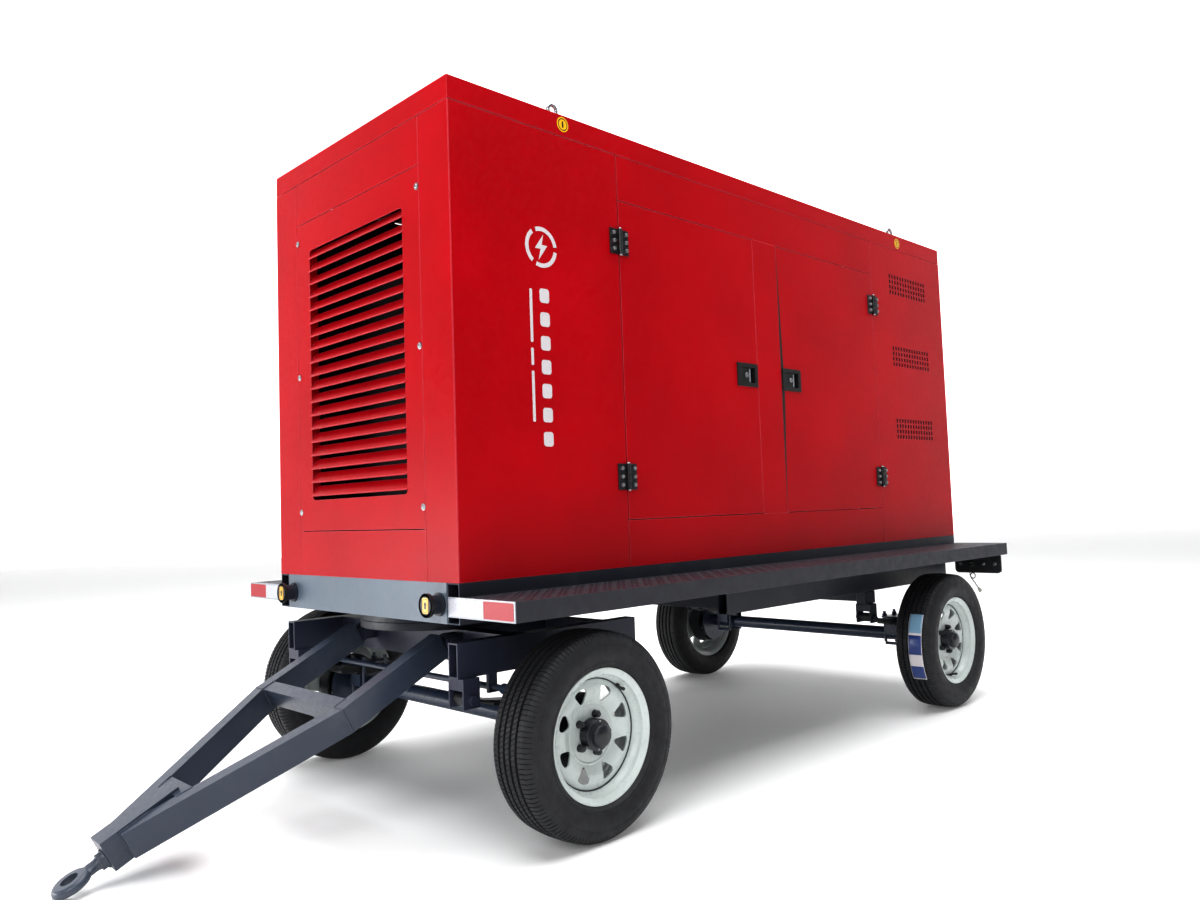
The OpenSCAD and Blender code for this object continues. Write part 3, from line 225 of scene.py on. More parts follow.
def rounded(w, h, r, steps=6):
    """Outline of a rectangle with round corners, centred."""
    points = []
    for cx, cy, a0 in ((1, 1, 0), (-1, 1, 90), (-1, -1, 180), (1, -1, 270)):
        for k in range(steps + 1):
            a = radians(a0 + 90 * k / steps)
            points.append((cx * (w / 2 - r) + r * cos(a), cy * (h / 2 - r) + r * sin(a)))
    return points


def add_hex_bolt(bm, matrix, r, h, washer=True):
    """A hexagon head with a chamfered top, on a washer, looking along +Z of matrix."""
    base = 0.2 * h if washer else 0.0
    if washer:
        disc = [(1.3 * r, 0), (1.3 * r, 0.16 * h), (1.24 * r, 0.22 * h), (0, 0.22 * h)]
        add_lathe(bm, disc, 20, matrix, False)
    levels = ((base, r), (0.86 * h, r), (h, 0.86 * r))
    skin(bm, [ring_at(bm, circle(reach, 6), z, matrix) for z, reach in levels], caps=True)


def add_dome_bolt(bm, matrix, r, h):
    """A round screw head with a drive recess, looking along +Z of matrix."""
    shape = ((1, 0), (1, 0.35), (0.86, 0.75), (0.6, 1), (0.36, 1), (0.3, 0.55), (0, 0.5))
    add_lathe(bm, [(r * u, h * v) for u, v in shape], 18, matrix, False)


# ---- camera

# The photograph's view: heading and tilt in degrees, place in metres from the canopy's front face
VIEW_AZ, VIEW_EL, VIEW_ROLL = 45.775, 3.66, -2.009
VIEW_AT = at(-1.5613, -2.7588, 0.9512)
VIEW_LENS = 27.908


def make_camera():
    data = bpy.data.cameras.new("camera")
    data.lens = VIEW_LENS
    data.sensor_width = 36
    data.clip_start, data.clip_end = 0.05, 200
    cam = new_object("camera", data)
    az, el, roll = (radians(v) for v in (VIEW_AZ, VIEW_EL, VIEW_ROLL))
    forward = Vector((cos(el) * cos(az), cos(el) * sin(az), sin(el)))
    right = forward.cross(Vector((0, 0, 1))).normalized()
    up = right.cross(forward)
    right_r = cos(roll) * right + sin(roll) * up
    up_r = -sin(roll) * right + cos(roll) * up
    turn = Matrix((right_r, up_r, -forward)).transposed().to_4x4()
    cam.matrix_world = Matrix.Translation(VIEW_AT) @ turn
    bpy.context.scene.camera = cam


make_camera()


# ---- materials

class Shader:
    """A material with short ways to add the nodes used here."""

    def __init__(self, name):
        self.m = bpy.data.materials.new(name)
        self.m.use_nodes = True
        self.t = self.m.node_tree
        self.bsdf = self.t.nodes["Principled BSDF"]
        self.where = self.t.nodes.new("ShaderNodeTexCoord").outputs["Object"]

    def feed(self, socket, value):
        """Links another node's output, or sets a colour, a vector or a number."""
        if isinstance(value, bpy.types.NodeSocket):
            self.t.links.new(value, socket)
        elif isinstance(value, tuple):
            socket.default_value = (*value, 1)[:len(socket.default_value)]
        else:
            socket.default_value = value

    def node(self, kind, inputs=None, **values):
        n = self.t.nodes.new(kind)
        for k, v in values.items():
            setattr(n, k, v)
        for k, v in (inputs or {}).items():
            self.feed(n.inputs[k], v)
        return n

    def noise(self, scale, detail=3.0, rough=0.55, stretch=None):
        where = self.where
        if stretch:
            where = self.node("ShaderNodeMapping", {"Scale": stretch, "Vector": where}).outputs["Vector"]
        values = {"Scale": scale, "Detail": detail, "Roughness": rough, "Vector": where}
        return self.node("ShaderNodeTexNoise", values).outputs["Fac"]

    def ramp(self, value, stops):
        r = self.node("ShaderNodeValToRGB", {"Fac": value})
        while len(r.color_ramp.elements) < len(stops):
            r.color_ramp.elements.new(0.5)
        for e, (pos, c) in zip(r.color_ramp.elements, stops):
            e.position = pos
            e.color = (c, c, c, 1)
        return r.outputs["Color"]

    def mix(self, fac, a, b):
        return self.node("ShaderNodeMix", {0: fac, 6: a, 7: b}, data_type="RGBA").outputs[2]

    def math(self, op, a, b=0.0, clamp=False):
        return self.node("ShaderNodeMath", {0: a, 1: b}, operation=op, use_clamp=clamp).outputs[0]

    def rough(self, value, middle, less, more):
        self.set(rough=self.ramp(value, [(0.3, middle - less), (0.7, middle + more)]))

    def edges(self, radius):
        """1 along rounded edges and 0 on flat faces."""
        bent = self.node("ShaderNodeBevel", {"Radius": radius}, samples=4).outputs["Normal"]
        flat = self.node("ShaderNodeNewGeometry").outputs["Normal"]
        dot = self.node("ShaderNodeVectorMath", {0: bent, 1: flat}, operation="DOT_PRODUCT")
        away = self.math("SUBTRACT", 1.0, dot.outputs["Value"])
        limits = {"From Min": 0.02, "From Max": 0.25, "Value": away}
        return self.node("ShaderNodeMapRange", limits).outputs["Result"]

    def bump(self, layers):
        """Stacks (height, strength, distance) layers onto the shader's normal."""
        last = None
        for height, strength, distance in layers:
            b = self.node("ShaderNodeBump", {"Strength": strength, "Distance": distance, "Height": height})
            if last is not None:
                self.feed(b.inputs["Normal"], last)
            last = b.outputs["Normal"]
        self.feed(self.bsdf.inputs["Normal"], last)

    def set(self, **values):
        names = {"color": "Base Color", "rough": "Roughness", "metal": "Metallic", "coat": "Coat Weight",
                 "coat_rough": "Coat Roughness", "level": "Specular IOR Level"}
        for k, v in values.items():
            self.feed(self.bsdf.inputs[names[k]], v)


def times(base, factor):
    return tuple(min(1.0, factor * c) for c in base)


def paint(name, base, light, rough, coat, peel, spots=0.0, edge=0.35, level=0.5, dirt=(0.5, 0.47, 0.42)):
    """Sprayed or powder-coated steel: orange peel, slight cloudiness, and a painted highlight that lightens
    the rounded edges.
    """
    s = Shader(name)
    colour = s.mix(s.ramp(s.noise(2.3, 4), [(0.35, 0.0), (0.65, 1.0)]), times(base, 0.86), base)
    # Painted highlight: the colour turns towards the light colour along rounded edges and seams.
    colour = s.mix(s.math("MULTIPLY", s.edges(0.003), edge, True), colour, light)
    if spots:
        dusty = s.ramp(s.noise(7, 6, 0.65), [(0.52, 0.0), (0.75, 1.0)])
        colour = s.mix(s.math("MULTIPLY", dusty, spots), colour, dirt)
    s.set(color=colour, coat=coat, coat_rough=0.16, level=level)
    s.rough(s.noise(60, 3), rough, 0.06, 0.07)
    s.bump([(s.noise(420, 2), peel, 0.0006), (s.noise(1.4, 2), 0.08, 0.004)])
    return s.m


def metal(name, base, rough=0.3, grain=(1, 1, 14), scale=90, bump=0.25):
    s = Shader(name)
    lines = s.noise(scale, 4, 0.6, grain)
    s.set(color=s.mix(lines, times(base, 0.72), base), metal=1.0)
    s.set(rough=s.ramp(lines, [(0.25, rough - 0.08), (0.75, rough + 0.12)]))
    s.bump([(lines, bump, 0.0003)])
    return s.m


def plastic(name, base, rough=0.45, grain=260, bump=0.3, coat=0.0):
    s = Shader(name)
    cells = s.noise(grain, 2)
    s.set(color=s.mix(s.noise(6, 3), times(base, 0.8), times(base, 1.12)), coat=coat)
    s.rough(cells, rough, 0.05, 0.08)
    s.bump([(cells, bump, 0.0004)])
    return s.m


def cast_iron(name, base, rough=0.55):
    s = Shader(name)
    grain = s.noise(140, 5, 0.7)
    colour = s.mix(s.noise(9, 4), times(base, 0.7), times(base, 1.15))
    grime = s.ramp(s.noise(14, 6, 0.7), [(0.5, 0.0), (0.8, 0.75)])
    s.set(color=s.mix(grime, colour, (0.02, 0.018, 0.016)))
    s.rough(grain, rough, 0.1, 0.15)
    s.bump([(grain, 0.5, 0.0012)])
    return s.m


def rubber(name, base, rough=0.62):
    s = Shader(name)
    dust = s.ramp(s.noise(11, 5, 0.62), [(0.45, 0.0), (0.8, 1.0)])
    colour = s.mix(s.math("MULTIPLY", dust, 0.1), base, (0.1, 0.105, 0.11))
    s.set(color=colour)
    s.rough(s.noise(40, 4), rough, 0.1, 0.1)
    s.bump([(s.noise(500, 3), 0.35, 0.0005)])
    return s.m


# Each paint's second colour is the painted highlight on its rounded edges.
RED = paint("canopy_red", (0.46, 0.0004, 0.0075), (0.9, 0.22, 0.28), 0.34, 0.0, 0.34, edge=0.7, level=0.16)
FRAME = paint("frame_paint", (0.02, 0.023, 0.036), (0.12, 0.14, 0.18), 0.4, 0.0, 0.22, spots=0.04, level=0.4)
# A lighter copy of the frame paint for the base frame's front faces: a painted sheen for the light those
# faces catch.
FRAME_FRONT_PAINTED_SHEEN = paint("frame_front_painted_sheen", (0.14, 0.178, 0.225), (0.4, 0.45, 0.5),
                    0.36, 0.05, 0.22, spots=0.04, level=0.4)
BOGIE = paint("bogie_paint", (0.034, 0.04, 0.068), (0.12, 0.15, 0.19), 0.4, 0.0, 0.22, spots=0.05, level=0.4)
BAR = paint("drawbar_paint", (0.042, 0.055, 0.085), (0.28, 0.31, 0.38), 0.36, 0.1, 0.2, spots=0.05)
AXLE = paint("axle_paint", (0.03, 0.045, 0.08), (0.13, 0.17, 0.24), 0.32, 0.15, 0.15, spots=0.06)
BLACK = paint("black_paint", (0.012, 0.012, 0.014), (0.12, 0.12, 0.13), 0.38, 0.15, 0.25)
SPRING = paint("spring_black", (0.014, 0.015, 0.018), (0.1, 0.1, 0.11), 0.45, 0.1, 0.3, spots=0.2)
RIM = paint("rim_white", (0.6, 0.655, 0.64), (0.8, 0.84, 0.82),
            0.3, 0.2, 0.18, dirt=(0.38, 0.4, 0.38), spots=0.05, edge=0.3)
HUB = paint("hub_black", (0.016, 0.018, 0.023), (0.1, 0.11, 0.12), 0.36, 0.2, 0.3)
CABINET = paint("cabinet_grey", (0.55, 0.56, 0.54), (0.8, 0.8, 0.78), 0.4, 0.1, 0.35)
ENGINE = cast_iron("engine_green", (0.035, 0.12, 0.06))
ENGINE_HEAD = cast_iron("engine_green_head", (0.045, 0.15, 0.075), 0.45)
ALTERNATOR = cast_iron("alternator_green", (0.05, 0.14, 0.09), 0.5)
CHROME = metal("chrome", (0.4, 0.41, 0.43), 0.22, (1, 1, 1), 40, 0.05)
ZINC = metal("zinc", (0.5, 0.51, 0.53), 0.34, (1, 1, 1), 120, 0.25)
STEEL = metal("machined_steel", (0.5, 0.51, 0.53), 0.28)
SILENCER = metal("aluminised", (0.4, 0.4, 0.41), 0.42, (3, 3, 3), 60, 0.35)
FORGED = paint("forged_paint", (0.06, 0.075, 0.105), (0.28, 0.31, 0.36), 0.38, 0.1, 0.5, spots=0.1)
CORE = metal("radiator_core", (0.05, 0.05, 0.055), 0.5, (1, 80, 1), 30, 0.6)
TYRE = rubber("tyre_rubber", (0.012, 0.0125, 0.015))
# A lighter rubber for the tread's top: painted highlight for the light the ribs catch.
TREAD_PAINTED_HIGHLIGHT = rubber("tyre_tread_top_painted_highlight", (0.085, 0.086, 0.094), 0.7)
# A near-black rubber for sipes and grooves: painted shade in the recesses.
GROOVE_PAINTED_SHADE = rubber("tyre_groove_painted_shade", (0.004, 0.004, 0.005), 0.8)
FOAM = rubber("acoustic_foam", (0.006, 0.006, 0.006), 0.9)
MOUNT = rubber("mount_rubber", (0.018, 0.018, 0.018))
BLACK_PLASTIC = plastic("black_plastic", (0.012, 0.012, 0.013), 0.36, 300, 0.25, 0.1)
YELLOW_PLASTIC = plastic("fan_yellow", (0.62, 0.4, 0.02), 0.4)
LAMP_PLASTIC = plastic("lamp_body", (0.02, 0.022, 0.025), 0.5)
CONNECTOR = plastic("connector_white", (0.8, 0.79, 0.74), 0.35)
BUTTON = plastic("button_red", (0.62, 0.01, 0.01), 0.25, 200, 0.15, 0.4)
BATTERY = plastic("battery_case", (0.015, 0.015, 0.017), 0.4)
STRAND_BLACK = plastic("strand_black", (0.015, 0.015, 0.016), 0.32, 400, 0.15)
STRAND_BROWN = plastic("strand_brown", (0.16, 0.055, 0.022), 0.32, 400, 0.15)
TANK = paint("tank_paint", (0.02, 0.022, 0.026), (0.1, 0.1, 0.11), 0.45, 0.05, 0.35, spots=0.15)


def sticker(name, base, rough=0.35):
    s = Shader(name)
    s.set(color=s.mix(s.noise(35, 3), times(base, 0.93), base), coat=0.35, coat_rough=0.1)
    s.rough(s.noise(150, 3), rough, 0.05, 0.08)
    s.bump([(s.noise(9, 2), 0.12, 0.002)])
    return s.m


WHITE_FILM = sticker("white_film", (0.66, 0.63, 0.65))
YELLOW_FILM = sticker("yellow_film", (0.9, 0.52, 0.01))
BLUE_FILM = sticker("blue_film", (0.03, 0.06, 0.22))
GREY_FILM = sticker("grey_film", (0.36, 0.38, 0.42))
SKY_FILM = sticker("sky_film", (0.22, 0.38, 0.52))


def reflective(name, base):
    """Reflective sheeting: a honeycomb of tiny cells under a clear face."""
    s = Shader(name)
    cells = s.node("ShaderNodeTexVoronoi", {"Scale": 260, "Vector": s.where}, feature="DISTANCE_TO_EDGE")
    walls = s.ramp(cells.outputs["Distance"], [(0.02, 1.0), (0.1, 0.0)])
    s.set(color=s.mix(walls, base, times(base, 0.6)), rough=0.4, coat=0.1, coat_rough=0.2)
    s.bump([(cells.outputs["Distance"], 0.25, 0.0006)])
    return s.m


FILM_WHITE = reflective("reflective_white", (0.56, 0.57, 0.62))
FILM_RED = reflective("reflective_red", (0.42, 0.003, 0.015))


def lens(name, base):
    s = Shader(name)
    ribs = s.node("ShaderNodeTexWave", {"Scale": 55, "Vector": s.where}, bands_direction="Y")
    s.set(color=s.mix(ribs.outputs["Fac"], times(base, 0.75), base))
    s.set(rough=0.12, coat=0.8, coat_rough=0.04)
    s.bump([(ribs.outputs["Fac"], 0.5, 0.0015)])
    return s.m


LENS_RED = lens("lens_red", (0.55, 0.01, 0.01))
LENS_AMBER = lens("lens_amber", (0.85, 0.24, 0.01))
LENS_CLEAR = lens("lens_clear", (0.7, 0.7, 0.7))


def chequer(name, base):
    """Deck paint with scuffs and a little of the canopy's dust; the lugs themselves are geometry."""
    s = Shader(name)
    wear = s.ramp(s.noise(16, 6, 0.7), [(0.48, 0.0), (0.8, 1.0)])
    colour = s.mix(s.math("MULTIPLY", wear, 0.28), base, (0.07, 0.075, 0.09))
    # Painted highlight: lighter grey along rounded edges.
    colour = s.mix(s.math("MULTIPLY", s.edges(0.002), 0.4, True), colour, (0.2, 0.2, 0.23))
    s.set(color=colour, rough=s.ramp(s.noise(30, 4), [(0.3, 0.42), (0.7, 0.58)]), coat=0.0)
    s.bump([(s.noise(320, 2), 0.25, 0.0006)])
    return s.m


DECK_PAINT = chequer("deck_paint", (0.02, 0.021, 0.03))
# The raised lugs take a lighter copy of the deck paint: painted highlight on their tops.
LUG_HIGHLIGHT_PAINT = chequer("lug_painted_highlight", (0.036, 0.037, 0.048))


# ---- CAD nodes

def dress(node, material, bevel):
    """Keeps a CAD node, with its own material and rounded edges."""
    o = NODES[node]
    o.data.materials.clear()
    o.data.materials.append(material)
    for p in o.data.polygons:
        p.material_index = 0
        p.use_smooth = True
    o.modifiers.new("weld", "WELD").merge_threshold = 0.00001
    round_edges(o, bevel)


LOOKS = [  # material, width of the rounded edges, nodes
    (FRAME, 0.002, "bollards turntable_upper turntable_lower"), (FRAME, 0.003, "base_frame"),
    (FRAME, 0.004, "chassis_rails"), (DECK_PAINT, 0.0015, "walkways"), (AXLE, 0.0015, "rear_axle front_axle"),
    (SPRING, 0.001, "rear_springs front_springs"), (RED, 0.0012, "corner_posts"), (RED, 0.0015, "roof"),
    (RED, 0.0006, "louvre_panel"), (RED, 0.001, "end_panels door_frames door_1 door_2 door_3 door_4"),
    (BLACK, 0.0008, "hinge_leaves"), (ENGINE, 0.004, "engine_block"), (ENGINE_HEAD, 0.004, "cylinder_head"),
    (MOUNT, 0.002, "engine_mounts"), (ALTERNATOR, 0.004, "alternator"), (STEEL, 0.001, "rotor_shaft"),
    (YELLOW_PLASTIC, 0.001, "cooling_fan"), (MOUNT, 0.001, "drive_belt"), (CORE, 0.002, "radiator"),
    (TANK, 0.003, "fuel_tank"), (SILENCER, 0.001, "silencer"), (BLACK_PLASTIC, 0.002, "air_filter"),
    (CABINET, 0.0015, "control_box"), (BATTERY, 0.003, "battery"), (BUTTON, 0.0015, "stop_button"),
    (BOGIE, 0.003, "bogie_frame"), (BAR, 0.004, "drawbar_frame"), (CHROME, 0.001, "lifting_eyes"),
    (CONNECTOR, 0.001, "lead_connector"), (FORGED, 0.003, "tow_eye"), (GREY_FILM, 0.0008, "marker_plates"),
    (BLACK_PLASTIC, 0.0006, "latch_1 latch_2 latch_3 latch_4"), (HUB, 0.0012, "hub_1 hub_2 hub_3 hub_4"),
]
for material, bevel, nodes in LOOKS:
    for node in nodes.split():
        dress(node, material, bevel)


HINGE_XS = (0.703, 2.404)
BARREL_HALF = 0.012  # hinge barrels keep the leaves' black within this of their middle
BOLT_OUT = 0.0052  # faces farther out than this from the side sheets belong to bolts


def on_barrel(x):
    return any(abs(x - X0 - h) < BARREL_HALF for h in HINGE_XS)


def colour_doors():
    """Black hinge leaves and latch trays on the red doors, told apart by where each face lies."""
    tray_half, tray_past = 0.048, 0.034
    for n in (1, 2, 3, 4):
        o = NODES[f"door_{n}"]
        for material in (BLACK, BLACK_PLASTIC, FOAM, ZINC):
            o.data.materials.append(material)
        lo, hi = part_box(f"latch_{n}")
        for p in o.data.polygons:
            x, y, z = p.center
            if abs(z - (lo.z + hi.z) / 2) < tray_half and lo.x - tray_past < x < hi.x + tray_past:
                p.material_index = 2
            elif abs(y) > HALF_W + BOLT_OUT and not on_barrel(x):
                p.material_index = 4
            elif abs(y) > HALF_W + 0.0002:
                p.material_index = 1
            elif abs(y) < HALF_W - 0.006 and abs(p.normal.y) > 0.9:
                p.material_index = 3


def second_material(node, material, chosen):
    """Gives the chosen faces of a CAD node another material."""
    o = NODES[node]
    o.data.materials.append(material)
    for p in o.data.polygons:
        if chosen(p.center, p.normal):
            p.material_index = 1


colour_doors()
# The base frame's front faces take the lighter copy of its paint: painted sheen.
second_material("base_frame", FRAME_FRONT_PAINTED_SHEEN, lambda c, n: n.x < -0.9 and c.x < X0 + 0.02)
second_material("hinge_leaves", ZINC, lambda c, n: abs(c.y) > HALF_W + BOLT_OUT and not on_barrel(c.x))


# ---- wheels

PITCHES = 132
SIPE_DEPTH, GROOVE_DEPTH, GROOVE_HALF = 0.0032, 0.0078, 0.0046
SIPE = (0.0, 0.0006, 0.0022, 0.0028)  # where a sipe starts, reaches its floor, leaves it and ends
GROOVES = (0.0365, 0.0125)  # the circumferential grooves, on either side of the middle
SLANT = 0.55  # how far a sipe runs round the tyre for each metre across it


def tread_radius(r, y):
    """The crowned tread's radius at y across it."""
    return r - 0.0035 * (abs(y) / 0.06) ** 2.2


def tread_rows(r, w):
    """(across, radius, sipe depth) of the tyre's outside, from one bead to the other."""
    wall = [
        (0.0615, 0.1203), (0.0632, 0.1072), (0.0665, 0.1066), (0.0735, 0.1035), (0.0782, 0.0985),
        (0.08, 0.0975), (0.0802, 0.0955), (0.0806, 0.0935), (0.0838, 0.085), (0.0868, 0.069),
        (0.0875, 0.058), (0.0866, 0.048), (0.0862, 0.047), (0.0858, 0.044), (0.0838, 0.034),
        (0.0812, 0.026), (0.08, 0.0235),
    ]
    shoulder = [(0.0772, 0.0175, 0.0028), (0.0725, 0.0115, 0.003), (0.067, 0.007, 0.003)]
    side = [(y, r - drop, 0.0) for y, drop in wall] + [(y, r - drop, d) for y, drop, d in shoulder]
    side.append((0.0625, tread_radius(r, 0.0625), 0.003))
    side = [(y * w / 0.0875, rr, d) for y, rr, d in side]
    half = [(0.057, 0.0), (0.048, 0.0)]
    for g in GROOVES:
        half += [(g + GROOVE_HALF, 0.0), (g + GROOVE_HALF - 0.001, GROOVE_DEPTH)]
        half += [(g - GROOVE_HALF + 0.001, GROOVE_DEPTH), (g - GROOVE_HALF, 0.0), (g - 0.009, 0.0)]
    top = [(y, tread_radius(r, y) - d, 0.0 if d else SIPE_DEPTH) for y, d in half]
    rows = side + top
    return rows + [(-y, rr, d) for y, rr, d in reversed(rows)]


def tyre(centre, r, w):
    """A tyre with five ribs, four grooves and sipes that run on over the shoulders."""
    bm = bmesh.new()
    sunk = set()

    def ring(y, rr, depth, lean):
        out = []
        for k in range(PITCHES):
            for s in SIPE:
                a = (k * TAU * r / PITCHES + s + lean) / r
                floor = depth if s in SIPE[1:3] else 0.0
                out.append(bm.verts.new(centre + Vector(((rr - floor) * cos(a), y, (rr - floor) * sin(a)))))
                if floor or any(abs(abs(y) - g) < 0.004 for g in GROOVES):
                    sunk.add(out[-1])
        return out

    inside = [(-0.0495, 0.1203), (-0.06, 0.106), (-0.0745, 0.084), (-0.075, 0.03), (-0.05, 0.0155)]
    inside += [(-y, drop) for y, drop in reversed(inside)]
    rings = [ring(y, rr, depth, SLANT * max(-0.046, min(0.046, y))) for y, rr, depth in tread_rows(r, w)]
    rings += [ring(y, r - drop, 0.0, 0.0) for y, drop in inside]
    # Faces in sipes and grooves take the near-black rubber, painted shade; faces near the tread's top take
    # the lighter rubber, painted highlight.
    for f in skin(bm, rings, closed=True):
        far = f.calc_center_median() - centre
        if sum(v in sunk for v in f.verts) >= 2:
            f.material_index = 2
        elif hypot(far.x, far.z) > r - 0.012:
            f.material_index = 1
    return bm


WHEELS = {}  # centre, side, radius and half width
for n in (1, 2, 3, 4):
    lo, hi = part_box(f"tyre_{n}")
    centre = (lo + hi) / 2
    WHEELS[n] = (centre, 1 if centre.y > 0 else -1, (hi.z - lo.z) / 2, (hi.y - lo.y) / 2)

WINDOWS = 8
WINDOW_AT = 0.119  # the windows' middle, from the axle
NUTS = 5
NUTS_AT = 0.057


def window_outline(k):
    """Window k in the rim's own plane: a full, rounded triangle with its point inwards."""
    half = [(-0.024, 0.006), (0.008, 0.0255), (0.021, 0.022)]
    pts = [Vector(p) for p in half[:1] + [(x, -y) for x, y in half] + [(0.025, 0.0)] + half[:0:-1]]
    turn = Matrix.Rotation(TAU * (k + 0.5) / WINDOWS, 2)
    out = []
    for i, p in enumerate(pts):
        q0 = p + (pts[i - 1] - p) * 0.38
        q1 = p + (pts[(i + 1) % len(pts)] - p) * 0.38
        for t in (0, 1 / 3, 2 / 3, 1):
            q = (1 - t) ** 2 * q0 + 2 * t * (1 - t) * p + t * t * q1
            out.append(tuple(turn @ (q + Vector((WINDOW_AT, 0)))))
    return out


def disc_height(r):
    """Height of the rim's outer face at radius r, as the CAD section has it."""
    points = [(0.036, 0.014), (0.078, 0.014), (0.094, 0.02), (0.124, 0.033), (0.152, 0.028), (0.161, 0.02)]
    for (r0, h0), (r1, h1) in zip(points, points[1:]):
        if r <= r1:
            return h0 + (h1 - h0) * max(0.0, (r - r0) / (r1 - r0))
    return points[-1][1]


RIM_SECTION = [
    (0.193, 0.07), (0.193, 0.064), (0.179, 0.061), (0.176, 0.043), (0.165, 0.026), (0.165, -0.024),
    (0.176, -0.038), (0.179, -0.061), (0.193, -0.064), (0.193, -0.07), (0.189, -0.07), (0.174, -0.059),
    (0.171, -0.035), (0.161, -0.022), (0.161, 0.006), (0.15, 0.02), (0.126, 0.026), (0.096, 0.014),
    (0.08, 0.008), (0.036, 0.008), (0.036, 0.014), (0.078, 0.014), (0.086, 0.017), (0.094, 0.02),
    (0.109, 0.0268), (0.124, 0.033), (0.14, 0.0312), (0.152, 0.028), (0.1575, 0.024), (0.161, 0.0205),
    (0.161, 0.028), (0.165, 0.0372), (0.171, 0.045), (0.1728, 0.052), (0.174, 0.059), (0.182, 0.064),
    (0.189, 0.07),
]


def cut_rim():
    """The pressed rim about +Z: the CAD section turned round, with its windows and stud holes cut through."""
    bm = bmesh.new()
    add_lathe(bm, RIM_SECTION, 144, Matrix())
    body = make_object("rim_blank", bm)
    bm = bmesh.new()
    for k in range(WINDOWS):
        add_prism(bm, window_outline(k), -0.01, 0.06, Matrix())
    for x, y in circle(NUTS_AT, NUTS):
        add_lathe(bm, [(0, -0.01), (0.007, -0.01), (0.007, 0.03), (0, 0.03)], 24, shift(x, y, 0), False)
    mesh = cut_away(body, make_object("rim_tool", bm))
    bpy.data.objects.remove(body)
    return mesh


def rim(n, m, blank):
    mesh = blank.copy()
    mesh.transform(m)
    o = new_object(f"rim_pressed_{n}", mesh)
    for p in mesh.polygons:
        p.use_smooth = True
    finish_piece(o, RIM, "rim_paint", f"wheel_{n}", (f"rim_{n}",), 0.0011, 32)


def rim_details(n, m):
    """Rolled window edges, the disc's raised ring, and the barrel's bead steps."""
    bm = bmesh.new()
    for k in range(WINDOWS):
        edge = [m @ Vector((x, y, disc_height(hypot(x, y)) - 0.0008)) for x, y in window_outline(k)]
        loop(bm, edge, 0.0018, 6)
    raised = [(0.0805, 0.0143), (0.0828, 0.0172), (0.0862, 0.0188), (0.089, 0.0182), (0.088, 0.015)]
    add_lathe(bm, raised, 96, m)
    for h in (0.036, -0.05):
        bead_step = [(0.17, h), (0.169, h + 0.0015), (0.168, h + 0.0015), (0.1675, h), (0.17, h - 0.002)]
        add_lathe(bm, bead_step, 120, m)
    piece(f"rim_detail_{n}", bm, RIM, "rim_paint", f"wheel_{n}", sharp=50)


def seam_ring(n, m):
    """The dark line of primer and shadow where the disc meets the barrel."""
    bm = bmesh.new()
    add_lathe(bm, [(0.1572, 0.0252), (0.158, 0.0262), (0.1604, 0.0262), (0.1612, 0.025), (0.1604, 0.0225),
                   (0.158, 0.0225)], 144, m)
    piece(f"disc_seam_{n}", bm, HUB, "rim_paint", f"wheel_{n}", 180)


def loop(bm, points, radius, sides):
    """A closed round bead along points."""
    middle = sum(points, Vector()) / len(points)
    rings = []
    for i, p in enumerate(points):
        t = (points[(i + 1) % len(points)] - points[i - 1]).normalized()
        out = p - middle
        out = (out - t * out.dot(t)).normalized()
        rings.append([bm.verts.new(p + u * out + v * t.cross(out)) for u, v in circle(radius, sides)])
    skin(bm, rings, closed=True)


def hub_details(n, m):
    """Wheel nuts with their cones, and the domed grease cap with its collar and two small screws."""
    bm = bmesh.new()
    stud = [(0.0094, 0.017), (0.0088, 0.0184), (0.0064, 0.0186), (0.006, 0.0222), (0.005, 0.0232),
            (0, 0.0232)]
    for x, y in circle(NUTS_AT, NUTS):
        spot = m @ shift(x, y, 0.0142)
        add_lathe(bm, [(0.0112, 0), (0.0112, 0.0012), (0.0108, 0.004), (0, 0.004)], 24, spot, False)
        add_prism(bm, circle(0.0108, 6), 0.0035, 0.017, spot)
        add_lathe(bm, stud, 24, spot, False)
    cap = [(0.0352, 0.0143), (0.045, 0.0146), (0.045, 0.045), (0.0462, 0.046), (0.0464, 0.049),
           (0.0448, 0.0506), (0.035, 0.0512), (0.0338, 0.0524), (0.0334, 0.064), (0.0318, 0.068),
           (0.027, 0.0715), (0.018, 0.0742), (0.008, 0.0756), (0, 0.0758)]
    add_lathe(bm, cap, 48, m, False)
    piece(f"hub_cap_{n}", bm, HUB, "hub_paint", f"wheel_{n}", sharp=40, bevel=0.0004)
    bm = bmesh.new()
    for s in (-1, 1):
        add_dome_bolt(bm, m @ shift(0.004 * s, 0.0395 * s, 0.0508), 0.0034, 0.0026)
    piece(f"cap_screws_{n}", bm, ZINC, "hub_paint", f"wheel_{n}", 180)


def valve(n, m, turn):
    """A rubber snap-in valve that leans inwards from the barrel, with its cap."""
    bm = bmesh.new()
    stem = [(0.17, 0.027), (0.164, 0.03), (0.158, 0.035), (0.1545, 0.042), (0.153, 0.05), (0.152, 0.058)]
    tip = [(0.1521, 0.0575), (0.1517, 0.06), (0.1512, 0.064), (0.151, 0.0655)]
    radii = ([0.0078, 0.0072, 0.0052, 0.0044, 0.0046, 0.0046], [0.005, 0.0054, 0.0053, 0.004])
    for path, thick in zip((stem, tip), radii):
        add_tube(bm, [m @ Vector((r * cos(turn), r * sin(turn), h)) for r, h in path], thick, 12)
    piece(f"valve_{n}", bm, BLACK_PLASTIC, "tyre_rubber", f"wheel_{n}", sharp=50)


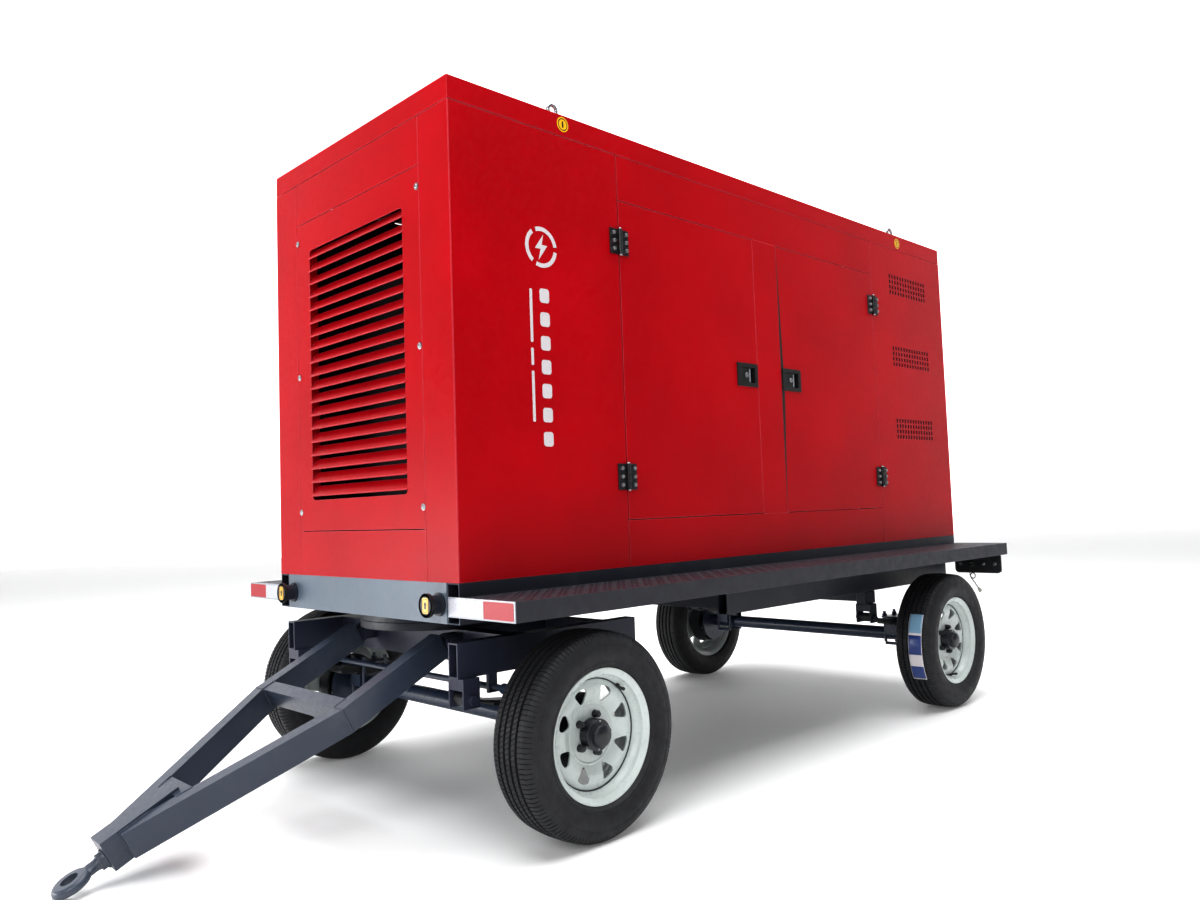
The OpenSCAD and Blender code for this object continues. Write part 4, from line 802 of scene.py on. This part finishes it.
def sidewall_marks(n, m, r):
    """Fine raised rings and short plain bars on the sidewall, with no lettering."""
    bm = bmesh.new()
    for rad, h in ((r - 0.0885, 0.0826), (r - 0.04, 0.085)):
        line = ((-0.0011, -0.0006), (-0.0004, 0.0007), (0.0004, 0.0006), (0.0011, -0.001))
        add_lathe(bm, [(rad + u, h + v) for u, v in line], 160, m)
    for start in (0.35, 3.5):
        for k in range(9):
            spot = m @ Matrix.Rotation(start + 0.062 * k, 4, "Z") @ shift(r - 0.063, 0, 0.0868)
            add_box(bm, (-0.0075, -0.0045, -0.001), (0.0075, 0.0045, 0.0006), spot)
    piece(f"sidewall_{n}", bm, TYRE, "tyre_rubber", f"wheel_{n}", sharp=50)


def drum_bolts(n, centre, side):
    bm = bmesh.new()
    for k in range(6):
        a = TAU * k / 6 + 0.3
        spot = centre + Vector((0.086 * cos(a), -side * 0.0905, 0.086 * sin(a)))
        add_hex_bolt(bm, facing(spot, (0, -side, 0)), 0.008, 0.006)
    piece(f"drum_bolts_{n}", bm, ZINC, "hub_paint", f"wheel_{n}")


RIM_BLANK = cut_rim()
VALVES = {1: 0.8, 2: 0.9, 3: 4.4, 4: -1.6}  # where each wheel's valve stands, in radians
for n, (centre, side, r, w) in WHEELS.items():
    m = facing(centre, (0, side, 0))
    piece(f"tyre_tread_{n}", tyre(centre, r, w), (TYRE, TREAD_PAINTED_HIGHLIGHT, GROOVE_PAINTED_SHADE), "tyre_rubber", f"wheel_{n}",
          sharp=32, hides=(f"tyre_{n}",))
    sidewall_marks(n, m, r)
    rim(n, m, RIM_BLANK)
    rim_details(n, m)
    seam_ring(n, m)
    hub_details(n, m)
    valve(n, m, VALVES[n])
    drum_bolts(n, centre, side)


# ---- deck lugs

SIDES = ((-1, "right"), (1, "left"))


def deck_lugs(side, tag):
    """Chequer plate: pairs of raised lens-shaped lugs, each pair turned across the next."""
    bm = bmesh.new()
    lo, hi = DECK
    x0, x1 = lo.x + 0.018, hi.x - 0.018
    y0, y1 = HALF_W + 0.01, hi.y - 0.01
    step, length, width, rise = 0.03, 0.013, 0.0036, 0.0013
    nx, ny = int((x1 - x0) / step) + 1, int((y1 - y0) / step) + 1
    outline = [(1, 0), (0.5, 0.8), (0, 1), (-0.5, 0.8), (-1, 0), (-0.5, -0.8), (0, -1), (0.5, -0.8)]
    ridge_of = (0, 0, 1, 2, 2, 2, 1, 0)  # the ridge point above each outline point
    for i in range(nx):
        for j in range(ny):
            cx, cy = x0 + (i + 0.5) * (x1 - x0) / nx, y0 + (j + 0.5) * (y1 - y0) / ny
            turn = radians(45 if (i + j) % 2 else -45)
            c, s = cos(turn), sin(turn)

            def point(u, v, z):
                return bm.verts.new((cx + u * c - v * s, side * (cy + u * s + v * c), hi.z + z))

            ring = [point(u * length, v * width, -0.0002) for u, v in outline]
            ridge = [point(t * length, 0, rise) for t in (0.62, 0.0, -0.62)]
            for k in range(8):
                m = (k + 1) % 8
                face = list(dict.fromkeys((ring[k], ring[m], ridge[ridge_of[m]], ridge[ridge_of[k]])))
                bm.faces.new(face[::side])
            bm.faces.new(ring[::-side])
    piece(f"deck_lugs_{tag}", bm, LUG_HIGHLIGHT_PAINT, "deck_paint", sharp=180)


for side, tag in SIDES:
    deck_lugs(side, tag)


# ---- canopy fittings

SKIN = HALF_W + 0.0003  # just proud of the side sheets


def side_matrix(x, z, side, y=SKIN):
    """+Z outwards from the side sheet, +Y up."""
    return facing((X0 + x, side * y, z), (0, side, 0))


HINGE_ZS = (CANOPY_Z + 0.304, CANOPY_Z + 1.113)


def hinge_details(side, tag):
    """Hexagon bolts on the hinge leaves: those on the fixed leaf stay, the others go with the door."""
    for i, x in enumerate(HINGE_XS):
        for body, way in (("chassis", 2 * i - 1), (f"door_{(1 if side < 0 else 3) + i}", 1 - 2 * i)):
            bm = bmesh.new()
            for z in HINGE_ZS:
                for dz, out in ((-0.028, 0.03), (0.0, 0.0295), (0.028, 0.03)):
                    spot = side_matrix(x + way * out, z + dz, side) @ shift(0, 0, 0.0106)
                    add_hex_bolt(bm, spot, 0.0062, 0.0036, False)
            piece(f"hinge_bolts_{body}_{tag[0]}{i}", bm, ZINC, "bright_bolt", body, bevel=0.0003)
    bm = bmesh.new()
    h = 0.044  # half the barrel's length
    knob = [(0, 0.0055), (0.0045, 0.005), (0.0062, 0.0025), (0.0062, -0.0005), (0, -0.0005)]
    for x in HINGE_XS:
        for z in HINGE_ZS:
            spot = shift(X0 + x, side * (HALF_W + 0.009), z)
            for up in (-1, 1):
                add_lathe(bm, [(r, up * (h + v)) for r, v in knob], 20, spot, False)
    piece(f"hinge_pins_{tag}", bm, ZINC, "bright_bolt", sharp=40)


for side, tag in SIDES:
    hinge_details(side, tag)


def latch_details(n):
    """Frame lip, finger strip and lock cylinder of a door latch."""
    lo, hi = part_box(f"latch_{n}")
    side = -1 if lo.y < 0 else 1
    x, z = lo.x - X0, (lo.z + hi.z) / 2
    inside = HALF_W - 0.001
    bm = bmesh.new()
    frame_ring(bm, rounded(0.13, 0.092, 0.006), rounded(0.0935, 0.0635, 0.004), 0.0, 0.0022,
               side_matrix(x + 0.044, z, side, HALF_W + 0.0033))
    piece(f"latch_frame_{n}", bm, BLACK_PLASTIC, "latch_plastic", f"door_{n}", bevel=0.0008)
    bm = bmesh.new()
    m = side_matrix(x + 0.042, z, side, inside)
    lock = [(0.0102, 0), (0.0102, 0.003), (0.0092, 0.004), (0.0045, 0.004), (0.004, 0.0032), (0, 0.0032)]
    add_lathe(bm, lock, 28, m, False)
    add_box(bm, (-0.0008, -0.0035, 0.003), (0.0008, 0.0035, 0.0042), m)
    piece(f"latch_lock_{n}", bm, ZINC, "bright_bolt", f"latch_{n}", sharp=40)
    m = side_matrix(x + 0.062, z, side, inside)
    prisms(f"latch_grip_{n}", [rounded(0.006, 0.052, 0.002, 3)], -0.0002, 0.0012, m,
           GREY_FILM, "latch_plastic", body=f"latch_{n}", bevel=0.0003)


for n in (1, 2, 3, 4):
    latch_details(n)


def panel_screws():
    bm = bmesh.new()
    for y in (0.17 - HALF_W, HALF_W - 0.17):
        for z in (0.222, 0.709, 1.201):
            m = facing((X0 - 0.0003, y, CANOPY_Z + z), (-1, 0, 0))
            add_lathe(bm, [(0.011, 0), (0.011, 0.0012), (0.01, 0.0016), (0, 0.0016)], 24, m, False)
            add_dome_bolt(bm, m @ shift(0, 0, 0.0012), 0.0078, 0.0044)
    piece("panel_screws", bm, ZINC, "bright_bolt", sharp=45, hides=("panel_bolts",))


panel_screws()


VENT_ZS = (0.535, 0.888, 1.242)
VENT_X, VENT_L = CANOPY_L - 0.351, 0.372
VENT_SLOT = (0.0165, 0.02)
SLOT_X, SLOT_Z = 0.0266, 0.026  # from one slot to the next
SHEET_TOP = 2.175


def side_sheets(side, tag):
    """The fixed side panels with their folded edges; the rear one has three groups of upright slots."""
    out, inn, fold = HALF_W, HALF_W - 0.003, HALF_W - 0.034

    def sheet(x0, x1, ya, yb):
        lo, hi = sorted((side * ya, side * yb))
        add_box(bm, (X0 + x0, lo, CANOPY_Z), (X0 + x1, hi, SHEET_TOP))

    bm = bmesh.new()
    sheet(0.0033, 0.7015, inn, out)
    sheet(0.663, 0.7015, fold, inn)
    sheet(2.4055, 2.444, fold, inn)
    piece(f"side_sheet_{tag}", bm, RED, "canopy_paint", hides=("side_panels",), bevel=0.0008)
    bm = bmesh.new()
    sheet(2.4055, 3.1067, inn, out)
    plate = make_object(f"vent_sheet_{tag}", bm, False)
    bm = bmesh.new()
    for zc in VENT_ZS:
        for row in (-1.5, -0.5, 0.5, 1.5):
            for k in range(14):
                x, z = VENT_X + 0.0125 - VENT_L / 2 + k * SLOT_X, CANOPY_Z + zc + row * SLOT_Z
                spot = side_matrix(x, z, side, HALF_W - 0.01)
                add_prism(bm, rounded(*VENT_SLOT, 0.002, 2), 0.0, 0.02, spot)
    plate.data = cut_away(plate, make_object("vent_tool", bm, False))
    finish_piece(plate, RED, "canopy_paint", bevel=0.0004)


for side, tag in SIDES:
    side_sheets(side, tag)


def louvre_blades():
    """The pressed louvre's steep outer faces, each with a rolled lower lip that catches the light."""
    pitch, z0, half = 0.047105, CANOPY_Z + 0.2784, 0.3045
    bm = bmesh.new()
    for k in range(19):
        z = z0 + k * pitch
        outline = [(-0.004, 0.0007), (0.0205, 0.0357), (0.0217, 0.0349), (-0.0026, -0.0003)]
        skin(bm, [[bm.verts.new((X0 + x, y, z + h)) for x, h in outline] for y in (-half, half)], caps=True)
        add_tube(bm, [(X0 - 0.0034, y, z + 0.0002) for y in (-half, half)], 0.0021, 8)
    piece("louvre_blades", bm, RED, "canopy_paint", sharp=30)


louvre_blades()


def foam():
    """Sheets of black foam inside the fixed side panels, put there as painted shade to leave the vents dark.
    """
    bm = bmesh.new()
    for s in (-1, 1):
        y0, y1 = sorted((s * (HALF_W - 0.005), s * (HALF_W - 0.03)))
        for x0, x1 in ((2.45, CANOPY_L - 0.03), (0.16, 0.655)):
            add_box(bm, (X0 + x0, y0, CANOPY_Z + 0.02), (X0 + x1, y1, SKIRT_Z - 0.02))
    piece("panel_foam_painted_shade", bm, FOAM, "cabinet_paint")


foam()


def roof_trim():
    """Folded lip under the roof's skirt, seen as a thin line."""
    bm = bmesh.new()
    for y in (0.03 - HALF_W, HALF_W - 0.03):
        add_box(bm, (X0 + 0.004, y - 0.026, SKIRT_Z), (X0 + CANOPY_L - 0.004, y + 0.026, SKIRT_Z + 0.002))
    piece("roof_lip", bm, RED, "canopy_paint", bevel=0.0005)


roof_trim()


# ---- plain marks in place of lettering

def band(r0, r1, a0, a1, steps=14):
    """Outline of a part of a flat ring, between two angles in degrees."""
    turns = [radians(a0 + (a1 - a0) * k / steps) for k in range(steps + 1)]
    return [(r1 * cos(a), r1 * sin(a)) for a in turns] + [(r0 * cos(a), r0 * sin(a)) for a in reversed(turns)]


def moved(outline, up):
    return [(u, v + up) for u, v in outline]


def side_marks(side, tag):
    """A broken ring round a bolt of lightning, a row of blocks and a dashed line."""
    bolt = [
        (0.01, 0.043), (-0.026, -0.006), (-0.003, -0.006), (-0.012, -0.043), (0.026, 0.008), (0.003, 0.008),
    ]
    emblem = [band(0.052, 0.066, a + 8, a + 112) for a in (0, 120, 240)] + [bolt]
    blocks = [moved(rounded(0.04, 0.046, 0.01, 4), 0.228 - 0.076 * k) for k in range(7)]
    lines = ((0.17, 0.165), (0.055, 0.035), (0.16, -0.09))
    dashes = [moved(rounded(0.011, length, 0.004, 3), up) for length, up in lines]
    for name, outlines, x, z in (("emblem", emblem, 0.349, 1.789), ("blocks", blocks, 0.356, 1.405),
                                 ("dashes", dashes, 0.3, 1.4)):
        prisms(f"{name}_{tag}", outlines, 0.0, 0.0004, side_matrix(x, z, side), WHITE_FILM)


def round_label(name, x, z, side, r=0.025):
    m = side_matrix(x, z, side)
    prisms(name, [circle(r, 40)], 0.0, 0.0004, m, YELLOW_FILM)
    bm = bmesh.new()
    frame_ring(bm, circle(r * 0.82, 40), circle(r * 0.7, 40), 0.0, 0.0006, m)
    add_prism(bm, rounded(r * 0.28, r * 0.9, r * 0.13, 4), 0.0, 0.0006, m)
    piece(name + "_ring", bm, BLACK_PLASTIC, "marker_film")


def marker_films(side, tag):
    """White and red reflective halves on a marker plate, with a grey border."""
    lo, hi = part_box("marker_plates")
    y0, y1 = 0.511, hi.y
    mid = y0 + 0.55 * (y1 - y0)
    for a, b, film, part in ((y0 + 0.006, mid, FILM_WHITE, "white"), (mid, y1 - 0.006, FILM_RED, "red")):
        m = facing((lo.x, side * (a + b) / 2, (lo.z + hi.z) / 2), (-1, 0, 0))
        outline = rounded(b - a - 0.0008, hi.z - lo.z - 0.01, 0.003, 4)
        prisms(f"marker_{part}_{tag}", [outline], 0.0002, 0.0007, m, film)


def post_labels(side, tag):
    """A yellow label with an arrow on a lashing post, and the post's raised rim."""
    lo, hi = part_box("bollards")
    m = facing((lo.x, side * 0.46, (lo.z + hi.z) / 2), (-1, 0, 0))
    arrow = [(-0.0045, -0.01), (0.0045, -0.01), (0.0045, 0.002), (0.0085, 0.002), (0, 0.013),
             (-0.0085, 0.002), (-0.0045, 0.002)]
    bm = bmesh.new()
    frame_ring(bm, rounded(0.024, 0.04, 0.005, 5), rounded(0.021, 0.037, 0.004, 5), 0.0007, 0.0011, m)
    add_prism(bm, arrow, 0.0007, 0.0011, m)
    piece(f"post_mark_{tag}", bm, BLACK_PLASTIC, "marker_film")
    prisms(f"post_label_{tag}", [rounded(0.03, 0.046, 0.007, 5)], 0.0002, 0.0008, m, YELLOW_FILM)
    bm = bmesh.new()
    frame_ring(bm, circle(0.0352, 48), circle(0.0262, 48), -0.01, 0.0, m)
    piece(f"post_rim_{tag}", bm, BLACK, "frame_paint", bevel=0.0006)


for side, tag in SIDES:
    side_marks(side, tag)
    round_label(f"label_front_{tag}", 0.459, ROOF_Z - 0.032, side)
    round_label(f"label_rear_{tag}", 2.676, ROOF_Z - 0.039, side)
    marker_films(side, tag)
    post_labels(side, tag)


# ---- drawbar

HINGE = at(0.168, 0, 0.548)
BAR_ANGLE = radians(27.043)
BAR_AHEAD = Vector((-cos(BAR_ANGLE), 0, -sin(BAR_ANGLE)))
BAR_UP = Vector((-sin(BAR_ANGLE), 0, cos(BAR_ANGLE)))


def bar(reach, y, height):
    """A point on the drawbar: reach ahead of its pins, sideways, and above the line to the eye."""
    return HINGE + reach * BAR_AHEAD + height * BAR_UP + Vector((0, y, 0))


def bead(bm, a, b, radius=0.0032):
    """A rippled weld bead from a to b."""
    count = max(3, int((b - a).length / 0.0026))
    points = [a + (b - a) * k / count for k in range(count + 1)]
    radii = [radius * (1.0 if k % 2 else 0.8) * random.uniform(0.93, 1.07) for k in range(count + 1)]
    radii[0] = radii[-1] = radius * 0.5
    add_tube(bm, points, radii, 8)


def drawbar_welds():
    bm = bmesh.new()
    for s in (-1, 1):

        def weld(start, end, radius=0.0032):
            bead(bm, *(bar(reach, s * y, height) for reach, y, height in (start, end)), radius)

        for reach in (0.368, 0.4124):
            weld((reach, 0.2365, -0.01), (reach, 0.2365, 0.049))
        weld((0.368, 0.2365, 0.0495), (0.4124, 0.2365, 0.0495))
        weld((0.4124, 0.2862, -0.029), (0.4124, 0.2862, 0.0495), 0.0028)
        weld((0.4124, 0.2372, 0.0502), (0.4124, 0.285, 0.0502), 0.0026)
        for reach in (0.798, 0.842):
            inner = 0.236 - (reach - 0.4124) * 0.3948
            weld((reach, inner, -0.028), (reach, inner, 0.049))
        weld((0.798, 0.084, 0.0495), (0.842, 0.067, 0.0495))
        weld((0.908, 0.0402, 0.0502), (0.995, 0.0402, 0.0502), 0.0034)
        weld((0.9952, 0.0405, -0.029), (0.9952, 0.0405, 0.05), 0.0034)
    piece("drawbar_welds", bm, BAR, "drawbar_paint", "drawbar", 180)


def forged_neck():
    """The eye's shank, drawn out of the ring and swelling again where it meets the nose."""
    stations = [(1.112, 0.033, 0.0105), (1.104, 0.0312, 0.0118), (1.094, 0.0262, 0.0126),
                (1.084, 0.0212, 0.0136), (1.074, 0.0184, 0.0152), (1.066, 0.0186, 0.0172),
                (1.06, 0.0212, 0.0206), (1.054, 0.024, 0.024), (1.047, 0.0252, 0.0252)]
    bm = bmesh.new()
    rings = [[bm.verts.new(bar(reach, w * u, h * v)) for u, v in circle(1, 28)] for reach, w, h in stations]
    skin(bm, rings, caps=True)
    collar = [bar(1.0462, u, v) for u, v in circle(0.0262, 24)]
    for a, b in zip(collar, collar[1:] + collar[:1]):
        bead(bm, a, b, 0.0034)
    piece("eye_neck", bm, FORGED, "forged_steel", "drawbar", sharp=60)


drawbar_welds()
forged_neck()


# ---- tail lamps

def tail_lamp(side, tag):
    """Plate on two tabs, housing with three lenses, four bolts and the lead's gland."""
    face, mid, lens_z = X0 + 3.116, 0.674, 0.6118

    def rearwards(x, y, z):
        return facing((face + x, side * y, z), (1, 0, 0))

    bm = bmesh.new()
    add_prism(bm, rounded(0.236, 0.124, 0.02, 8), 0.0, 0.004, rearwards(-0.004, mid, 0.626))
    for y0, y1 in ((0.584, 0.624), (0.724, 0.764)):
        lo, hi = sorted((side * y0, side * y1))
        add_box(bm, (face - 0.034, lo, 0.662), (face - 0.0043, hi, 0.7097))
    piece(f"lamp_plate_{tag}", bm, LAMP_PLASTIC, "lamp_plastic", bevel=0.001, hides=("tail_lamps",))
    bm = bmesh.new()
    m = rearwards(0.0003, mid, lens_z)
    frame_ring(bm, rounded(0.228, 0.0876, 0.008, 6), rounded(0.22, 0.0796, 0.006, 6), 0.0, 0.015, m)
    add_prism(bm, rounded(0.222, 0.0816, 0.006, 6), 0.0, 0.004, m)
    piece(f"lamp_housing_{tag}", bm, BLACK_PLASTIC, "lamp_plastic", bevel=0.0008)
    for name, y0, y1, mat in (("amber", 0.565, 0.637, LENS_AMBER), ("red", 0.639, 0.733, LENS_RED),
                              ("white", 0.735, 0.783, LENS_CLEAR)):
        prisms(f"lens_{name}_{tag}", [rounded(y1 - y0, 0.078, 0.005, 5)], 0.0, 0.014,
               rearwards(0.004, (y0 + y1) / 2, lens_z), mat, "lamp_plastic", bevel=0.002)
    bm = bmesh.new()
    for y in (-0.088, -0.03, 0.03, 0.088):
        add_hex_bolt(bm, facing((face - 0.0041, side * (mid + y), 0.611), (-1, 0, 0)), 0.0072, 0.008)
    piece(f"lamp_bolts_{tag}", bm, ZINC, "bright_bolt", bevel=0.0003)
    bm = bmesh.new()
    gland = [(0.003, 0.0005), (0.008, 0.0005), (0.008, 0.006), (0.007, 0.0066), (0.007, 0.008),
             (0.0078, 0.0086), (0.0078, 0.015), (0.006, 0.0178), (0.003, 0.0178)]
    add_lathe(bm, gland, 24, facing((face - 0.004, side * 0.648, 0.604), (-1, 0, 0)))
    piece(f"lamp_gland_{tag}", bm, BLACK_PLASTIC, "lamp_plastic", sharp=40)


for side, tag in SIDES:
    tail_lamp(side, tag)


# ---- new tyre's paper label

def tyre_label(name, a0, a1, y0, y1, rise, material):
    """A blank patch round part of the rear right tyre's tread, between two angles in degrees."""
    centre, _, r, _ = WHEELS[4]
    bm = bmesh.new()
    steps = max(2, int((a1 - a0) / 2.5))
    rows = []
    for i in range(steps + 1):
        a = radians(a0 + (a1 - a0) * i / steps)
        row = [(y, tread_radius(r, y) + rise) for y in (y0 + (y1 - y0) * j / 8 for j in range(9))]
        rows.append([bm.verts.new(centre + Vector((rr * cos(a), y, rr * sin(a)))) for y, rr in row])
    for p, q in zip(rows, rows[1:]):
        for k in range(8):
            bm.faces.new([p[k], p[k + 1], q[k + 1], q[k]])
    o = make_object(name, bm)
    paper = o.modifiers.new("paper", "SOLIDIFY")
    paper.thickness = 0.0003
    paper.offset = 0
    finish_piece(o, material, "marker_film", "wheel_4")


tyre_label("tyre_label", 152, 208, -0.052, 0.01, 0.0006, WHITE_FILM)
tyre_label("tyre_label_top", 152, 168, -0.05, 0.008, 0.001, SKY_FILM)
tyre_label("tyre_label_bar", 170, 186, -0.05, 0.008, 0.001, BLUE_FILM)
tyre_label("tyre_label_foot", 196, 207, -0.05, 0.008, 0.001, BLUE_FILM)


# ---- tail lamp lead

LEAD_D = 0.005
LEAD_LINE = [
    (3.096, -0.648, 0.604), (3.09, -0.648, 0.604), (3.082, -0.648, 0.601), (3.077, -0.648, 0.593),
    (3.076, -0.648, 0.578), (3.076, -0.648, 0.566), (3.076, -0.649, 0.556), (3.075, -0.653, 0.547),
    (3.073, -0.661, 0.541), (3.07, -0.67, 0.541), (3.068, -0.677, 0.547), (3.067, -0.679, 0.556),
    (3.067, -0.675, 0.564), (3.067, -0.667, 0.567), (3.067, -0.659, 0.563), (3.067, -0.655, 0.555),
    (3.068, -0.656, 0.546), (3.07, -0.66, 0.537), (3.071, -0.666, 0.528), (3.072, -0.672, 0.519),
    (3.072, -0.678, 0.51), (3.072, -0.684, 0.501), (3.072, -0.69, 0.492),
]


def smooth_line(points, steps):
    """Points along a smooth curve through the given ones."""
    p = [Vector(q) for q in points]
    p = [2 * p[0] - p[1]] + p + [2 * p[-1] - p[-2]]
    out = []
    for i in range(1, len(p) - 2):
        a, b, c, d = p[i - 1 : i + 3]
        for k in range(steps):
            t = k / steps
            square, cube = 2 * a - 5 * b + 4 * c - d, 3 * b - a - 3 * c + d
            out.append(0.5 * (2 * b + (c - a) * t + square * t * t + cube * t ** 3))
    out.append(p[-2])
    return out


def twisted_lead(line):
    """Two insulated strands, brown and black, twisted about each other into one lead."""
    sides, lay = 16, 0.017
    bm = bmesh.new()
    rings, run, last = [], 0.0, line[0]
    for p, side, other in across(line):
        run += (p - last).length
        last = p
        ring = []
        for k in range(sides):
            a = TAU * (k / sides + run / lay)
            r = LEAD_D / 2 * (0.8 + 0.2 * abs(cos(TAU * k / sides)))
            ring.append(bm.verts.new(p + r * (cos(a) * side + sin(a) * other)))
        rings.append(ring)
    for i, f in enumerate(skin(bm, rings, caps=True)[:-2]):
        f.material_index = 1 if cos(TAU * (i + 0.5) / sides) > 0 else 0
    strands = (STRAND_BLACK, STRAND_BROWN)
    return piece("lead_strands", bm, strands, "lead_sleeve", sharp=180, hides=("lamp_lead",))


def lead_sleeve(line):
    bm = bmesh.new()
    count = 16
    radii = [0.0054 - 0.0022 * k / count + (0.0 if k % 3 else 0.0004) for k in range(count)]
    add_tube(bm, line[:count], radii, 16)
    return piece("lead_relief", bm, BLACK_PLASTIC, "lead_sleeve", sharp=50)


lead_line = smooth_line([at(*q) for q in LEAD_LINE], 8)
strands = twisted_lead(lead_line)
relief = lead_sleeve(lead_line)


# ---- floor and light

def floor():
    """A pale floor that curves up far behind, and a bright wall in front of its rise."""
    s = Shader("floor")
    s.set(color=s.mix(s.noise(0.35, 3), (0.86, 0.86, 0.86), (0.89, 0.89, 0.895)))
    s.set(rough=s.ramp(s.noise(9, 3), [(0.3, 0.62), (0.7, 0.72)]))
    s.bsdf.inputs["Emission Color"].default_value = (1, 1, 1, 1)
    s.bsdf.inputs["Emission Strength"].default_value = 0.12
    wall = Shader("backdrop")
    wall.set(color=(0.9, 0.9, 0.9), rough=0.8)
    wall.feed(wall.bsdf.inputs["Emission Color"], wall.ramp(wall.noise(0.1, 2), [(0.3, 0.93), (0.7, 1.0)]))
    wall.bsdf.inputs["Emission Strength"].default_value = 1.7
    size, back, bend, top, wall_at = 60.0, 22.0, 8.0, 40.0, 20.0
    az = radians(VIEW_AZ)
    ahead, right = Vector((cos(az), sin(az), 0)), Vector((sin(az), -cos(az), 0))

    def strip(name, material, line):
        """A sheet as wide as the floor over (distance, height) points."""
        bm = bmesh.new()
        low = CAD_BOX[0][2] - 0.0002
        rows = []
        for w in (-size, size):
            rows.append([bm.verts.new(ahead * d + right * w + Vector((0, 0, low + h))) for d, h in line])
        for k in range(len(line) - 1):
            bm.faces.new([rows[0][k], rows[0][k + 1], rows[1][k + 1], rows[1][k]])
        bmesh.ops.recalc_face_normals(bm, faces=bm.faces)
        o = make_object(name, bm)
        o.data.materials.append(material)
        return o

    rise = [radians(90 * k / 13) for k in range(14)]
    curve = [(back + bend * sin(a), bend * (1 - cos(a))) for a in rise]
    line = [(-size, 0.0)] + curve + [(back + bend, top)]
    strip("floor", s.m, line)
    strip("backdrop", wall.m, [(wall_at, 0.02), (wall_at, top)])


def light(name, place, aim, size, power):
    data = bpy.data.lights.new(name, "AREA")
    data.shape = "RECTANGLE"
    data.size, data.size_y = size
    data.energy = power
    o = new_object(name, data)
    o.location = place
    o.rotation_euler = (Vector(aim) - Vector(place)).to_track_quat("-Z", "Y").to_euler()


def sky():
    world = bpy.data.worlds.new("world")
    bpy.context.scene.world = world
    world.use_nodes = True
    ground = world.node_tree.nodes["Background"]
    ground.inputs["Color"].default_value = (0.95, 0.97, 1.0, 1)
    ground.inputs["Strength"].default_value = 0.12


floor()
sky()
light("top", (0.0, 0.0, 7.5), (0.0, 0.0, 0.0), (9.0, 9.0), 1500)
light("key", (-6.5, -2.5, 4.0), (-0.8, 0.0, 1.2), (3.0, 3.0), 240)
light("side", (-3.5, -9.0, 4.5), (0.5, 0.0, 1.0), (5.0, 3.0), 170)
light("front_low", (-5.2, 3.2, 0.5), (-1.1, 0.0, 0.85), (3.0, 1.1), 130)
bpy.context.scene.view_settings.view_transform = "Standard"
bpy.context.scene.view_settings.exposure = -0.25
bpy.context.scene.view_settings.gamma = 0.8
